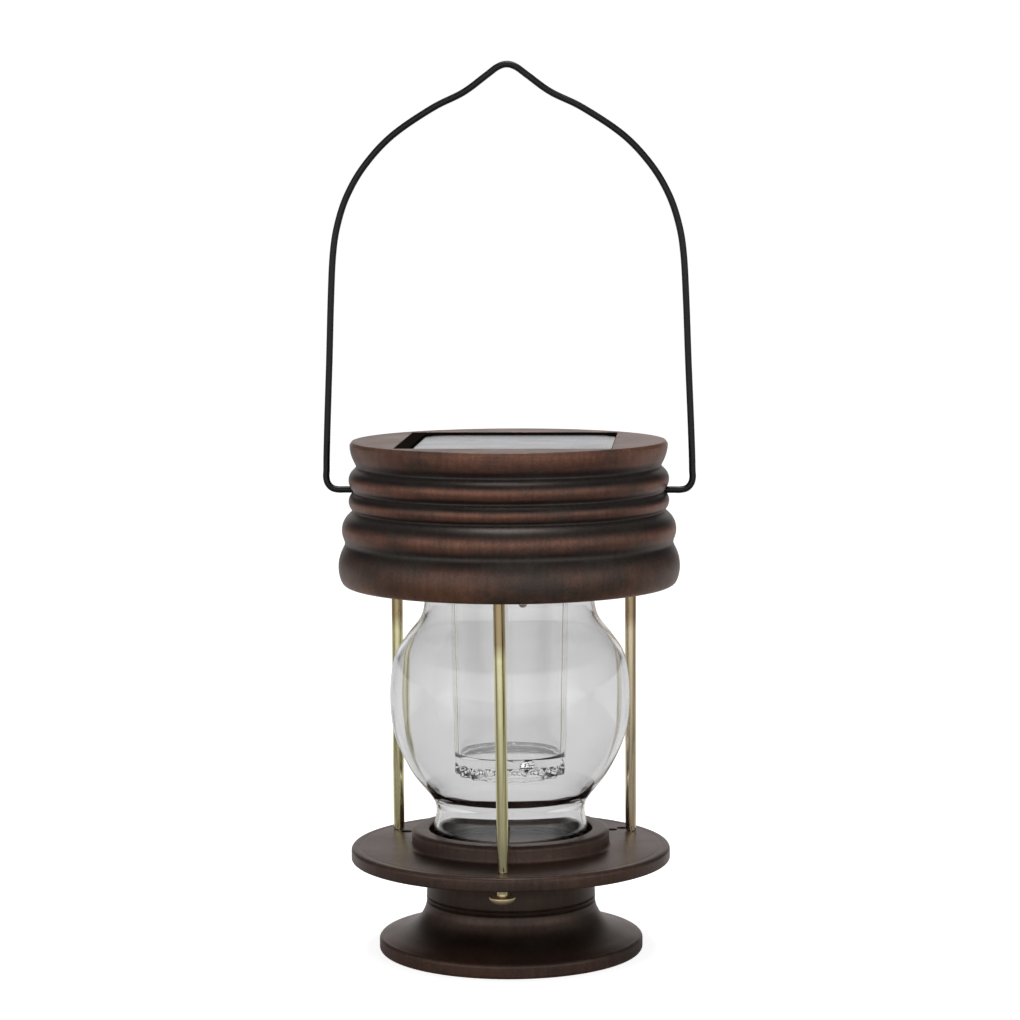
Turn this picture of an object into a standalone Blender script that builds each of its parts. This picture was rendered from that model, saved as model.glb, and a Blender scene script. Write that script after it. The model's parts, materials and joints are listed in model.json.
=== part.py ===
"""A hanging solar lantern: ribbed cap with a solar panel, glass globe in a cage of three brass rods,
turned base and a wire bail that swings on the cap.

Metres, +Z up. The origin is under the middle of the foot. One rod stands at -Y, which is the front, and the
bail's two ends lie along X.
"""
import math

import bmesh
import bpy
from mathutils import Euler, Vector

# ---- Driving dimensions ----
GAP = 0.0003
WELD = 0.000001
SHARP_ANGLE = math.radians(32)
FINE = 40
MEDIUM = 32
SMALL = 12

FOOT_RADIUS = 0.0427
FOOT_EASE = 0.0014
NECK_RADIUS = 0.0273
NECK_GROOVES = (0.0181, 0.0165)
NECK_GROOVE_DEPTH = 0.0006
FOOT_DISC_BOTTOM = 0.0272
FOOT_HOLLOW_RADIUS = 0.0245
FOOT_SCREW_CIRCLE = 0.015
FOOT_SCREW_ANGLES = {"front": -90, "right": 30, "left": 150}
PLATE_RADIUS = 0.0516
PLATE_BOTTOM = 0.0298
PLATE_TOP = 0.0343
COLLAR_RADIUS = 0.03195
COLLAR_BORE = 0.0264
COLLAR_TOP = 0.0398
PLATE_FLOOR = 0.0336
PLATE_EASE = 0.0008
DRAIN_HOLE_RADIUS = 0.00175
DRAIN_HOLES = ((0.0398, 36), (0.0440, 36.5), (0.0398, 153))

CAP_BOTTOM = 0.1193
CAP_TOP = 0.1655
CAP_TOP_RADIUS = 0.0497
CAP_BOTTOM_RADIUS = 0.0514
CAP_BORE = 0.0485
CAP_UPPER_BORE = 0.0463
CAP_ROOF = 0.1594
CAP_STEP = (0.1380, 0.1410)
GROOVES = ((0.04875, 0.1571), (0.0498, 0.1493), (0.05005, 0.1431), (0.0525, 0.1328), (0.0539, 0.1206))
BEAD_RISES = (0.00225, 0.00165, 0.0024, 0.0017)
COVER_BOTTOM = 0.1202
COVER_TOP = 0.1222
COVER_RADIUS = CAP_BORE - GAP
DECK = COVER_TOP + GAP

RECESS_HALF = 0.034
RECESS_FLOOR = 0.1616
LEAD_HOLE_RADIUS = 0.0025
PANEL_SIDE = 0.0625
PANEL_CORNER = 0.0045
PANEL_THICKNESS = 0.00205
PANEL_TOP = CAP_TOP - 0.00055
PANEL_OFFSET = (0.0024, 0.0012)
GASKET_WINDOW = 0.046
GASKET_TOP = CAP_TOP - 0.0003

ROD_CIRCLE = 0.0444
ROD_RADIUS = 0.00185
ROD_BORE = 0.0012
ROD_ANGLES = {"front": -90, "right": 30, "left": 150}
CAP_SCREW_ANGLES = {"rear": 90, "front_left": 210, "front_right": 330}
BOSS_RADIUS = 0.0044
BOSS_TOP = 0.134
SHANK_RADIUS = 0.00085
SHANK_HOLE = 0.0012
CAP_SCREW_HEAD = (0.0027, 0.0018)
FOOT_SCREW_HEAD = (0.0026, 0.0018)
HOLDER_SCREW_HEAD = (0.0021, 0.0014)
BOARD_SCREW_HEAD = (0.0020, 0.0013)
SHOULDER_RADIUS = 0.0022
DOME_TOP = 0.0270
DOME_RADIUS = 0.0041
DOME_HEIGHT = 0.0025
ROD_SCREW_REACH = 0.010

GLOBE_WALL = 0.0015
GLOBE_TOP = 0.1187
GLOBE_BOTTOM = 0.0351
TUBE_TOP_RADIUS = 0.019
TUBE_BOTTOM_RADIUS = 0.01795
TUBE_BOTTOM = 0.0577
TUBE_WALL = 0.0017
TUBE_BASE = 0.0070
TUBE_CLEARANCE = 0.0004
TUBE_FLANGE_RADIUS = 0.0225
TUBE_FLANGE_TOP = 0.124

LED_X = 0.0043
LED_TIP = 0.1116
LED_RADIUS = 0.0015
LED_BODY = 0.0046
LED_RIM = 0.0010
LED_LEG_Y = 0.0009
LED_LEG_RADIUS = 0.0003
HOLDER_BOTTOM = TUBE_FLANGE_TOP + GAP
HOLDER_TOP = 0.1263
HOLDER_RADIUS = 0.0255
HOLDER_FLANGE_RADIUS = 0.031
HOLDER_LIP_RADIUS = 0.0229
HOLDER_SCREW_X = 0.0283
SPOUT_RADIUS = 0.0030
SPOUT_BORE = 0.0018
POST_RADIUS = 0.0022
BOARD_BOTTOM = 0.1293
BOARD_TOP = 0.1309
BOARD_SIZE = (0.054, 0.036)
BOARD_SCREW_X = 0.022
ON_BOARD = BOARD_TOP + GAP
CHIP_SIZE = (0.005, 0.004, 0.0018)
CHIP_PLACE = (0.012, 0.010)
INDUCTOR_PLACE = (-0.012, 0.010)

BATTERY_Y = -0.011
BATTERY_Z = 0.1377
BATTERY_RADIUS = 0.0052
CRADLE_SIZE = (0.051, 0.013, 0.0113)
CRADLE_WALL = 0.001
CONTACT_X = CRADLE_SIZE[0] / 2 - CRADLE_WALL - GAP
CONTACT_SIZE = (0.0004, 0.0086, 0.0088)
BATTERY_TIP_X = CONTACT_X - CONTACT_SIZE[0] - GAP
BATTERY_LENGTH = 0.0445
SPRING_TURNS = 3
SPRING_WIRE = 0.00035
LEAD_RADIUS = 0.0005

SWITCH_CIRCLE = 0.0362
SWITCH_ANGLE = 60
SWITCH_TOP = 0.130
SWITCH_SIDE = 0.009
POCKET_RADIUS = 0.0034
POCKET_TOP = 0.1266
BUTTON_RADIUS = 0.0024
BUTTON_BOTTOM = 0.1178
BUTTON_TRAVEL = 0.0012
BUTTON_TOP = POCKET_TOP - BUTTON_TRAVEL - 0.0002

BAIL_WIRE_RADIUS = 0.0011
BAIL_PIVOT_Z = 0.1496
BAIL_END_X = 0.0447
BAIL_HOLE_RADIUS = 0.00145
BAIL_PEAK_Z = 0.2847


# ---- Shape helpers ----
def polar(radius, degrees, height=0.0):
    """A point at a radius and an angle from +X."""
    angle = math.radians(degrees)
    return Vector((radius * math.cos(angle), radius * math.sin(angle), height))


def arc(centre, radius, start, end, steps):
    """Points in a turned outline along a circular arc, angles in degrees from the +R direction."""
    points = []
    for step in range(steps + 1):
        angle = math.radians(start + (end - start) * step / steps)
        points.append((centre[0] + radius * math.cos(angle), centre[1] + radius * math.sin(angle)))
    return points


def bulge(start, end, rise, steps):
    """Points after start, up to and with end, along the arc that stands out by rise at its middle."""
    chord = Vector((end[0] - start[0], end[1] - start[1]))
    middle = Vector(start) + chord / 2
    outward = Vector((-chord.y, chord.x)).normalized()
    radius = (chord.length ** 2 / 4 + rise ** 2) / (2 * rise)
    half_angle = math.asin(chord.length / 2 / radius)
    centre = middle - outward * (radius - rise)
    points = []
    for step in range(1, steps + 1):
        turn = half_angle * (2 * step / steps - 1)
        direction = outward * math.cos(turn) + chord.normalized() * math.sin(turn)
        point = centre + direction * radius
        points.append((point.x, point.y))
    return points


def smooth_path(points, steps):
    """Catmull-Rom curve through the points, which may be flat outlines or places in space."""
    knots = [Vector(point) for point in points]
    knots = [knots[0] * 2 - knots[1]] + knots + [knots[-1] * 2 - knots[-2]]
    path = []
    for before, start, end, after in zip(knots, knots[1:], knots[2:], knots[3:]):
        for step in range(steps):
            t = step / steps
            path.append(0.5 * (2 * start + (end - before) * t
                               + (2 * before - 5 * start + 4 * end - after) * t ** 2
                               + (3 * start - before - 3 * end + after) * t ** 3))
    path.append(knots[-2])
    return path


def shifted_inward(outline, wall):
    """A downward run of outline points moved towards the axis, square to the run."""
    shifted = []
    for index, point in enumerate(outline):
        before = Vector(outline[max(index - 1, 0)])
        after = Vector(outline[min(index + 1, len(outline) - 1)])
        along = (after - before).normalized()
        shifted.append((point[0] + along.y * wall, point[1] - along.x * wall))
    return shifted


def make_material(name, colour, roughness, metallic=0.0, transmission=0.0):
    """A Principled material."""
    material = bpy.data.materials.new(name)
    material.use_nodes = True
    shader = material.node_tree.nodes["Principled BSDF"]
    shader.inputs["Base Color"].default_value = (*colour, 1.0)
    shader.inputs["Roughness"].default_value = roughness
    shader.inputs["Metallic"].default_value = metallic
    shader.inputs["Transmission Weight"].default_value = transmission
    material.diffuse_color = (*colour, 1.0)
    return material


def add_mesh(name, shape, material, location=(0, 0, 0)):
    """A new object from a bmesh, shaded smooth with sharp creases."""
    mesh = bpy.data.meshes.new(name)
    bmesh.ops.recalc_face_normals(shape, faces=shape.faces)
    shape.to_mesh(mesh)
    shape.free()
    mesh.shade_smooth()
    mesh.set_sharp_from_angle(angle=SHARP_ANGLE)
    mesh.materials.append(material)
    piece = bpy.data.objects.new(name, mesh)
    piece.location = location
    bpy.context.scene.collection.objects.link(piece)
    return piece


def turned_shape(outline, segments):
    """A bmesh turned about Z from (radius, height) points; off the axis the outline closes on itself."""
    shape = bmesh.new()
    verts = [shape.verts.new((point[0], 0.0, point[1])) for point in outline]
    edges = [shape.edges.new(pair) for pair in zip(verts, verts[1:])]
    if outline[0][0] > 0:
        edges.append(shape.edges.new((verts[-1], verts[0])))
    bmesh.ops.spin(shape, geom=verts + edges, cent=(0, 0, 0), axis=(0, 0, 1), angle=math.tau,
                   steps=segments, use_merge=True)
    bmesh.ops.remove_doubles(shape, verts=shape.verts, dist=WELD)
    return shape


def turned(name, outline, segments, material, location=(0, 0, 0)):
    """A turned object."""
    return add_mesh(name, turned_shape(outline, segments), material, location)


def ring(name, inner, outer, bottom, top, segments, material):
    """A flat ring."""
    outline = [(inner, top), (outer, top), (outer, bottom), (inner, bottom)]
    return turned(name, outline, segments, material)


def box_shape(size, centre, bevel=0.0):
    """A bmesh box, with its edges cut back if a bevel is given."""
    shape = bmesh.new()
    bmesh.ops.create_cube(shape, size=1.0)
    bmesh.ops.scale(shape, vec=size, verts=shape.verts)
    bmesh.ops.translate(shape, vec=centre, verts=shape.verts)
    if bevel:
        bmesh.ops.bevel(shape, geom=shape.edges[:], offset=bevel, segments=1, affect="EDGES")
    return shape


def cylinders_shape(places, radius, bottom, top, segments):
    """Upright cylinders of one size at several places, in one bmesh."""
    shape = bmesh.new()
    for place in places:
        made = bmesh.ops.create_cone(shape, cap_ends=True, segments=segments, radius1=radius,
                                     radius2=radius, depth=top - bottom)
        middle = Vector((place[0], place[1], (top + bottom) / 2))
        bmesh.ops.translate(shape, vec=middle, verts=made["verts"])
    return shape


def cut(piece, name, shape, operation="DIFFERENCE"):
    """Cuts a shape out of a piece, or joins it on, with a hidden cutter object."""
    cutter = add_mesh(name, shape, piece.data.materials[0])
    cutter.hide_render = True
    cutter.display_type = "WIRE"
    modifier = piece.modifiers.new(name, "BOOLEAN")
    modifier.operation = operation
    modifier.object = cutter
    modifier.solver = "EXACT"


def wire(name, points, radius, material, resolution=1):
    """A round wire along a line of points, with closed ends."""
    curve = bpy.data.curves.new(name, "CURVE")
    curve.dimensions = "3D"
    curve.bevel_depth = radius
    curve.bevel_resolution = resolution
    curve.use_fill_caps = True
    spline = curve.splines.new("POLY")
    spline.points.add(len(points) - 1)
    for spline_point, point in zip(spline.points, points):
        spline_point.co = (*point, 1.0)
    spline.use_smooth = True
    curve.materials.append(material)
    piece = bpy.data.objects.new(name, curve)
    bpy.context.scene.collection.objects.link(piece)
    return piece


def screw(name, place, material, seat, head, shank_end):
    """A dome-headed screw whose head lies on the far side of seat from the shank's end."""
    head_radius, head_height = head
    way = 1 if shank_end < seat else -1
    outline = [(0.0, seat + way * head_height)]
    outline.append((head_radius * 0.6, seat + way * head_height * 0.86))
    outline.append((head_radius * 0.93, seat + way * head_height * 0.4))
    outline.append((head_radius, seat))
    outline.append((SHANK_RADIUS, seat))
    outline.append((SHANK_RADIUS, shank_end))
    outline.append((0.0, shank_end))
    return turned(name, outline, SMALL, material, location=(place[0], place[1], 0))


# ---- Base: foot, plate and their screws ----
def foot_outline():
    """Hollow foot and neck: outside from the top of the neck to the floor, then back up the inside."""
    outline = [(0.0, PLATE_BOTTOM - GAP), (0.0266, PLATE_BOTTOM - GAP), (NECK_RADIUS, 0.0288)]
    outline += [(0.0270, 0.0240), (NECK_RADIUS, 0.0190)]
    for height in NECK_GROOVES:
        outline += [(NECK_RADIUS - NECK_GROOVE_DEPTH, height), (NECK_RADIUS, height - 0.0008)]
    outline += [(0.0281, 0.0131), (0.0297, 0.0104), (0.0324, 0.0082), (0.0360, 0.0066), (0.0398, 0.0055)]
    outline += arc((FOOT_RADIUS - FOOT_EASE, 0.0037), FOOT_EASE, 75, 0, 3)
    outline += [(FOOT_RADIUS, 0.0008), (FOOT_RADIUS - 0.0007, 0.0), (0.0388, 0.0), (0.0386, 0.0026)]
    outline += [(0.0300, 0.0060), (0.0250, 0.0110), (FOOT_HOLLOW_RADIUS, 0.0170)]
    outline += [(FOOT_HOLLOW_RADIUS, FOOT_DISC_BOTTOM), (0.0, FOOT_DISC_BOTTOM)]
    return outline


def add_foot(material):
    """The turned foot, drilled for its three screws."""
    foot = turned("foot_shell", foot_outline(), FINE, material)
    places = [polar(FOOT_SCREW_CIRCLE, angle) for angle in FOOT_SCREW_ANGLES.values()]
    holes = cylinders_shape(places, SHANK_HOLE, FOOT_DISC_BOTTOM - 0.002, PLATE_BOTTOM + 0.001, SMALL)
    cut(foot, "foot_screw_holes", holes)


def plate_outline():
    """Round plate with a raised collar that the globe stands in."""
    outline = [(0.0, PLATE_FLOOR), (COLLAR_BORE, PLATE_FLOOR), (COLLAR_BORE, COLLAR_TOP - 0.0005)]
    outline += [(COLLAR_BORE + 0.0005, COLLAR_TOP)]
    outline += arc((COLLAR_RADIUS - 0.0016, COLLAR_TOP - 0.0016), 0.0016, 90, 0, 3)
    outline += [(COLLAR_RADIUS, PLATE_TOP + 0.0009), (COLLAR_RADIUS + 0.0009, PLATE_TOP)]
    edge = PLATE_RADIUS - PLATE_EASE
    outline += arc((edge, PLATE_TOP - PLATE_EASE), PLATE_EASE, 90, 0, 2)
    outline += arc((edge, PLATE_BOTTOM + PLATE_EASE), PLATE_EASE, 0, -90, 2)
    outline += [(0.0, PLATE_BOTTOM)]
    return outline


def add_plate(material):
    """The plate, drilled for the rods' screws, the foot's screws and its drain holes."""
    plate = turned("gallery_plate", plate_outline(), FINE, material)
    rods = [polar(ROD_CIRCLE, angle) for angle in ROD_ANGLES.values()]
    below = PLATE_BOTTOM - 0.001
    above = PLATE_TOP + 0.001
    cut(plate, "plate_rod_holes", cylinders_shape(rods, SHANK_HOLE, below, above, SMALL))
    feet = [polar(FOOT_SCREW_CIRCLE, angle) for angle in FOOT_SCREW_ANGLES.values()]
    cut(plate, "plate_foot_holes", cylinders_shape(feet, SHANK_HOLE, below, PLATE_FLOOR - 0.001, SMALL))
    drains = [polar(radius, angle) for radius, angle in DRAIN_HOLES]
    cut(plate, "plate_drain_holes", cylinders_shape(drains, DRAIN_HOLE_RADIUS, below, above, SMALL))


def add_foot_screws(material):
    """Three screws up through the foot into the plate."""
    for side, angle in FOOT_SCREW_ANGLES.items():
        place = polar(FOOT_SCREW_CIRCLE, angle)
        seat = FOOT_DISC_BOTTOM - GAP
        screw("foot_screw_" + side, place, material, seat, FOOT_SCREW_HEAD, PLATE_FLOOR - 0.0014)


# ---- Cage: three rolled brass rods and their screws ----
def add_rods(brass):
    """Tube rods between the plate and the cap's cover."""
    for side, angle in ROD_ANGLES.items():
        place = polar(ROD_CIRCLE, angle)
        outline = [(ROD_BORE, COVER_BOTTOM - GAP), (ROD_RADIUS, COVER_BOTTOM - GAP)]
        outline += [(ROD_RADIUS, PLATE_TOP + GAP), (ROD_BORE, PLATE_TOP + GAP)]
        turned("rod_" + side, outline, SMALL, brass, location=place)


def add_rod_bottom_screws(brass):
    """Shouldered dome screws under the plate, which run up into the rods."""
    for side, angle in ROD_ANGLES.items():
        outline = [(0.0, DOME_TOP - DOME_HEIGHT), (0.0021, DOME_TOP - DOME_HEIGHT * 0.84)]
        outline += [(0.0034, DOME_TOP - DOME_HEIGHT * 0.45), (DOME_RADIUS, DOME_TOP - 0.0003)]
        outline += [(DOME_RADIUS - 0.0002, DOME_TOP), (SHOULDER_RADIUS, DOME_TOP)]
        outline += [(SHOULDER_RADIUS, PLATE_BOTTOM - GAP), (SHANK_RADIUS, PLATE_BOTTOM - GAP)]
        outline += [(SHANK_RADIUS, PLATE_TOP + ROD_SCREW_REACH), (0.0, PLATE_TOP + ROD_SCREW_REACH)]
        turned("rod_bottom_screw_" + side, outline, SMALL, brass, location=polar(ROD_CIRCLE, angle))


def add_rod_top_screws(steel):
    """Screws inside the cap, down through the cover into the rods."""
    for side, angle in ROD_ANGLES.items():
        place = polar(ROD_CIRCLE, angle)
        screw("rod_top_screw_" + side, place, steel, DECK, CAP_SCREW_HEAD, COVER_BOTTOM - ROD_SCREW_REACH)


# ---- Globe, its gaskets and the light tube ----
def globe_outside():
    """Outer run of the globe, top to bottom: neck, bulb, throat and foot."""
    neck = [(0.0270, GLOBE_TOP), (0.0270, 0.1137), (0.0284, 0.1083)]
    bulb = [(0.0326, 0.1029), (0.0368, 0.0962), (0.0386, 0.0860), (0.0382, 0.0757), (0.0363, 0.0680)]
    throat = [(0.0315, 0.0582), (0.0252, 0.0500), (0.0237, 0.0455), (0.0243, 0.0390)]
    curved = smooth_path(bulb, 2)
    return neck + [(point.x, point.y) for point in curved] + throat + [(0.0247, GLOBE_BOTTOM)]


def add_globe(glass):
    """Blown glass globe, open at both ends."""
    outside = globe_outside()
    inside = shifted_inward(outside, GLOBE_WALL)
    turned("glass_globe", outside + inside[::-1], MEDIUM, glass)


def add_gaskets(rubber):
    """Rings that the globe is clamped between."""
    ring("globe_foot_gasket", 0.0220, 0.0256, PLATE_FLOOR + GAP, GLOBE_BOTTOM - GAP, MEDIUM, rubber)
    ring("globe_top_gasket", 0.0249, 0.0276, GLOBE_TOP + GAP, COVER_BOTTOM - GAP, MEDIUM, rubber)


def add_light_tube(acrylic):
    """Clear tumbler that hangs from the cap by its flange."""
    outline = [(0.0, TUBE_BOTTOM + TUBE_BASE), (0.0152, TUBE_BOTTOM + TUBE_BASE)]
    outline += [(0.0163, TUBE_BOTTOM + TUBE_BASE + 0.0008), (TUBE_TOP_RADIUS - TUBE_WALL, TUBE_FLANGE_TOP)]
    outline += [(TUBE_FLANGE_RADIUS, TUBE_FLANGE_TOP), (TUBE_FLANGE_RADIUS, DECK)]
    outline += [(TUBE_TOP_RADIUS, DECK), (TUBE_BOTTOM_RADIUS, TUBE_BOTTOM + 0.0010)]
    outline += [(TUBE_BOTTOM_RADIUS - 0.0010, TUBE_BOTTOM), (0.0, TUBE_BOTTOM)]
    turned("light_tube", outline, MEDIUM, acrylic)


# ---- Cap ----
def cap_outside():
    """Outer run of the cap, top to bottom: rim, then one convex bead after another."""
    outline = [(CAP_TOP_RADIUS, CAP_TOP)]
    outline += bulge((CAP_TOP_RADIUS, CAP_TOP), (0.0509, 0.1638), 0.0003, 2)
    outline += bulge((0.0509, 0.1638), GROOVES[0], 0.00055, 3)
    for start, end, rise in zip(GROOVES, GROOVES[1:], BEAD_RISES):
        outline += bulge(start, end, rise, 4)
    outline += bulge(GROOVES[-1], (CAP_BOTTOM_RADIUS, CAP_BOTTOM), 0.0006, 2)
    return outline


def add_cap(paint):
    """Moulded cap shell with its panel recess, bail holes and inner screw bosses."""
    outline = [(0.0, CAP_TOP)] + cap_outside()
    outline += [(CAP_BORE, CAP_BOTTOM), (CAP_BORE, CAP_STEP[0]), (CAP_UPPER_BORE, CAP_STEP[1])]
    outline += [(CAP_UPPER_BORE, CAP_ROOF - 0.0020), (CAP_UPPER_BORE - 0.0020, CAP_ROOF), (0.0, CAP_ROOF)]
    cap = turned("cap_shell", outline, FINE, paint)
    bosses = [polar(ROD_CIRCLE, angle) for angle in CAP_SCREW_ANGLES.values()]
    cut(cap, "cap_bosses", cylinders_shape(bosses, BOSS_RADIUS, DECK, BOSS_TOP, SMALL), "UNION")
    cut(cap, "cap_boss_holes", cylinders_shape(bosses, SHANK_HOLE, DECK - 0.001, BOSS_TOP - 0.002, SMALL))
    recess_height = CAP_TOP - RECESS_FLOOR + 0.002
    recess_size = (2 * RECESS_HALF, 2 * RECESS_HALF, recess_height)
    cut(cap, "cap_recess", box_shape(recess_size, (0, 0, RECESS_FLOOR + recess_height / 2)))
    lead_hole = cylinders_shape([(0, 0)], LEAD_HOLE_RADIUS, CAP_ROOF - 0.001, RECESS_FLOOR + 0.001, SMALL)
    cut(cap, "cap_lead_hole", lead_hole)
    pivot_hole = cylinders_shape([(0, 0)], BAIL_HOLE_RADIUS, -0.06, 0.06, SMALL)
    turn = Euler((0, math.radians(90), 0)).to_matrix()
    bmesh.ops.rotate(pivot_hole, matrix=turn, verts=pivot_hole.verts)
    bmesh.ops.translate(pivot_hole, vec=(0, 0, BAIL_PIVOT_Z), verts=pivot_hole.verts)
    cut(cap, "cap_bail_holes", pivot_hole)


def add_panel(cell_blue, rubber):
    """Square solar panel seated in a foam gasket that fills the rest of the cap's recess."""
    panel_height = PANEL_TOP - PANEL_THICKNESS / 2
    shape = box_shape((PANEL_SIDE, PANEL_SIDE, PANEL_THICKNESS), (0, 0, 0))
    upright = [edge for edge in shape.edges if abs(edge.verts[0].co.z - edge.verts[1].co.z) > WELD]
    bmesh.ops.bevel(shape, geom=upright, offset=PANEL_CORNER, segments=4, profile=0.5, affect="EDGES")
    add_mesh("solar_panel", shape, cell_blue, location=(*PANEL_OFFSET, panel_height))
    gasket_bottom = RECESS_FLOOR + GAP
    gasket_side = 2 * (RECESS_HALF - GAP)
    gasket_size = (gasket_side, gasket_side, GASKET_TOP - gasket_bottom)
    gasket_middle = (gasket_bottom + GASKET_TOP) / 2
    gasket = add_mesh("panel_gasket", box_shape(gasket_size, (0, 0, gasket_middle)), rubber)
    seat_side = PANEL_SIDE + 2 * GAP
    seat_middle = PANEL_TOP - PANEL_THICKNESS / 2
    seat_size = (seat_side, seat_side, PANEL_THICKNESS + 2 * GAP)
    seat = box_shape(seat_size, (*PANEL_OFFSET, seat_middle))
    top_corners = [vert for vert in seat.verts if vert.co.z > seat_middle]
    bmesh.ops.translate(seat, vec=(0, 0, PANEL_THICKNESS), verts=top_corners)
    cut(gasket, "gasket_seat", seat)
    window_size = (GASKET_WINDOW, GASKET_WINDOW, 4 * PANEL_THICKNESS)
    cut(gasket, "gasket_window", box_shape(window_size, (0, 0, gasket_middle)))


def add_cover(paint):
    """Round cover that closes the cap from below and carries everything inside it."""
    bore = TUBE_TOP_RADIUS + TUBE_CLEARANCE
    outline = [(bore, COVER_TOP), (COVER_RADIUS, COVER_TOP)]
    outline += [(COVER_RADIUS, COVER_BOTTOM), (bore, COVER_BOTTOM)]
    cover = turned("cap_bottom_cover", outline, FINE, paint)
    below = COVER_BOTTOM - 0.001
    above = COVER_TOP + 0.001
    angles = [*ROD_ANGLES.values(), *CAP_SCREW_ANGLES.values()]
    places = [polar(ROD_CIRCLE, angle) for angle in angles]
    places += [(-HOLDER_SCREW_X, 0), (HOLDER_SCREW_X, 0)]
    cut(cover, "cover_screw_holes", cylinders_shape(places, SHANK_HOLE, below, above, SMALL))
    switch_place = [polar(SWITCH_CIRCLE, SWITCH_ANGLE)]
    cut(cover, "cover_button_hole", cylinders_shape(switch_place, BUTTON_RADIUS + GAP, below, above, SMALL))


def add_cover_screws(steel):
    """Three screws up through the cover into the cap's bosses."""
    for side, angle in CAP_SCREW_ANGLES.items():
        place = polar(ROD_CIRCLE, angle)
        screw("cover_screw_" + side, place, steel, COVER_BOTTOM - GAP, CAP_SCREW_HEAD, BOSS_TOP - 0.004)


# ---- Light source and circuit ----
def add_led(epoxy):
    """Small domed LED with its two legs, pointing down into the light tube."""
    rim = LED_TIP + LED_BODY
    rim_radius = LED_RADIUS + 0.0004
    outline = [(0.0, LED_TIP)] + arc((0.0, LED_TIP + LED_RADIUS), LED_RADIUS, -60, 0, 2)
    outline += [(LED_RADIUS, rim), (rim_radius, rim), (rim_radius, rim + LED_RIM), (0.0, rim + LED_RIM)]
    led = turned("led", outline, SMALL, epoxy, location=(LED_X, 0, 0))
    places = [(LED_X, -LED_LEG_Y), (LED_X, LED_LEG_Y)]
    legs = cylinders_shape(places, LED_LEG_RADIUS, rim + LED_RIM / 2, BOARD_BOTTOM - GAP, SMALL // 2)
    cut(led, "led_legs", legs, "UNION")


def add_holder(white):
    """Reflector disc over the light tube's flange, with a spout for the LED and two posts for the board."""
    outline = [(0.0, HOLDER_TOP), (HOLDER_RADIUS, HOLDER_TOP), (HOLDER_RADIUS, TUBE_FLANGE_TOP)]
    outline += [(HOLDER_FLANGE_RADIUS, TUBE_FLANGE_TOP), (HOLDER_FLANGE_RADIUS, DECK)]
    outline += [(HOLDER_LIP_RADIUS, DECK), (HOLDER_LIP_RADIUS, HOLDER_BOTTOM), (0.0, HOLDER_BOTTOM)]
    holder = turned("led_holder", outline, MEDIUM, white)
    led_rim_top = LED_TIP + LED_BODY + LED_RIM
    spout = cylinders_shape([(LED_X, 0)], SPOUT_RADIUS, led_rim_top + GAP, HOLDER_TOP - 0.0005, SMALL)
    cut(holder, "holder_spout", spout, "UNION")
    posts = [(-BOARD_SCREW_X, 0), (BOARD_SCREW_X, 0)]
    post_top = BOARD_BOTTOM - GAP
    post_shape = cylinders_shape(posts, POST_RADIUS, HOLDER_TOP - 0.001, post_top, SMALL)
    cut(holder, "holder_posts", post_shape, "UNION")
    spout_hole = cylinders_shape([(LED_X, 0)], SPOUT_BORE, led_rim_top - 0.001, HOLDER_TOP + 0.001, SMALL)
    cut(holder, "holder_spout_hole", spout_hole)
    post_holes = cylinders_shape(posts, SHANK_HOLE, HOLDER_TOP - 0.0010, post_top + 0.001, SMALL)
    cut(holder, "holder_post_holes", post_holes)
    flange_holes = [(-HOLDER_SCREW_X, 0), (HOLDER_SCREW_X, 0)]
    holes = cylinders_shape(flange_holes, SHANK_HOLE, COVER_TOP - 0.001, TUBE_FLANGE_TOP + 0.001, SMALL)
    cut(holder, "holder_flange_holes", holes)


def add_inner_screws(steel):
    """Two screws hold the holder to the cover, and two hold the board to the holder."""
    for side, sign in (("left", -1), ("right", 1)):
        place = (sign * HOLDER_SCREW_X, 0)
        shank_end = COVER_BOTTOM + 0.0004
        screw("holder_screw_" + side, place, steel, HOLDER_BOTTOM, HOLDER_SCREW_HEAD, shank_end)
        place = (sign * BOARD_SCREW_X, 0)
        screw("board_screw_" + side, place, steel, ON_BOARD, BOARD_SCREW_HEAD, HOLDER_TOP - 0.0004)


def add_board(green, black, copper):
    """Circuit board with its driver chip and inductor."""
    thickness = BOARD_TOP - BOARD_BOTTOM
    shape = box_shape((*BOARD_SIZE, thickness), (0, 0, BOARD_BOTTOM + thickness / 2))
    board = add_mesh("circuit_board", shape, green)
    places = [(-BOARD_SCREW_X, 0), (BOARD_SCREW_X, 0)]
    holes = cylinders_shape(places, SHANK_HOLE, BOARD_BOTTOM - 0.001, BOARD_TOP + 0.001, SMALL)
    cut(board, "board_holes", holes)
    chip = box_shape(CHIP_SIZE, (*CHIP_PLACE, ON_BOARD + CHIP_SIZE[2] / 2), 0.0003)
    add_mesh("driver_chip", chip, black)
    outline = [(0.0, 0.0055), (0.0024, 0.0055), (0.0024, 0.0045), (0.0019, 0.0040), (0.0019, 0.0015)]
    outline += [(0.0024, 0.0010), (0.0024, 0.0), (0.0, 0.0)]
    turned("inductor", outline, SMALL, copper, location=(*INDUCTOR_PLACE, ON_BOARD))


# ---- Battery ----
def add_battery_cradle(black):
    """Open tray on the board for one AAA cell."""
    centre = (0, BATTERY_Y, ON_BOARD + CRADLE_SIZE[2] / 2)
    cradle = add_mesh("battery_cradle", box_shape(CRADLE_SIZE, centre), black)
    pocket_size = (CRADLE_SIZE[0] - 2 * CRADLE_WALL, CRADLE_SIZE[1] - 2 * CRADLE_WALL, CRADLE_SIZE[2])
    pocket_centre = (0, BATTERY_Y, centre[2] + CRADLE_WALL)
    cut(cradle, "cradle_pocket", box_shape(pocket_size, pocket_centre))


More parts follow.
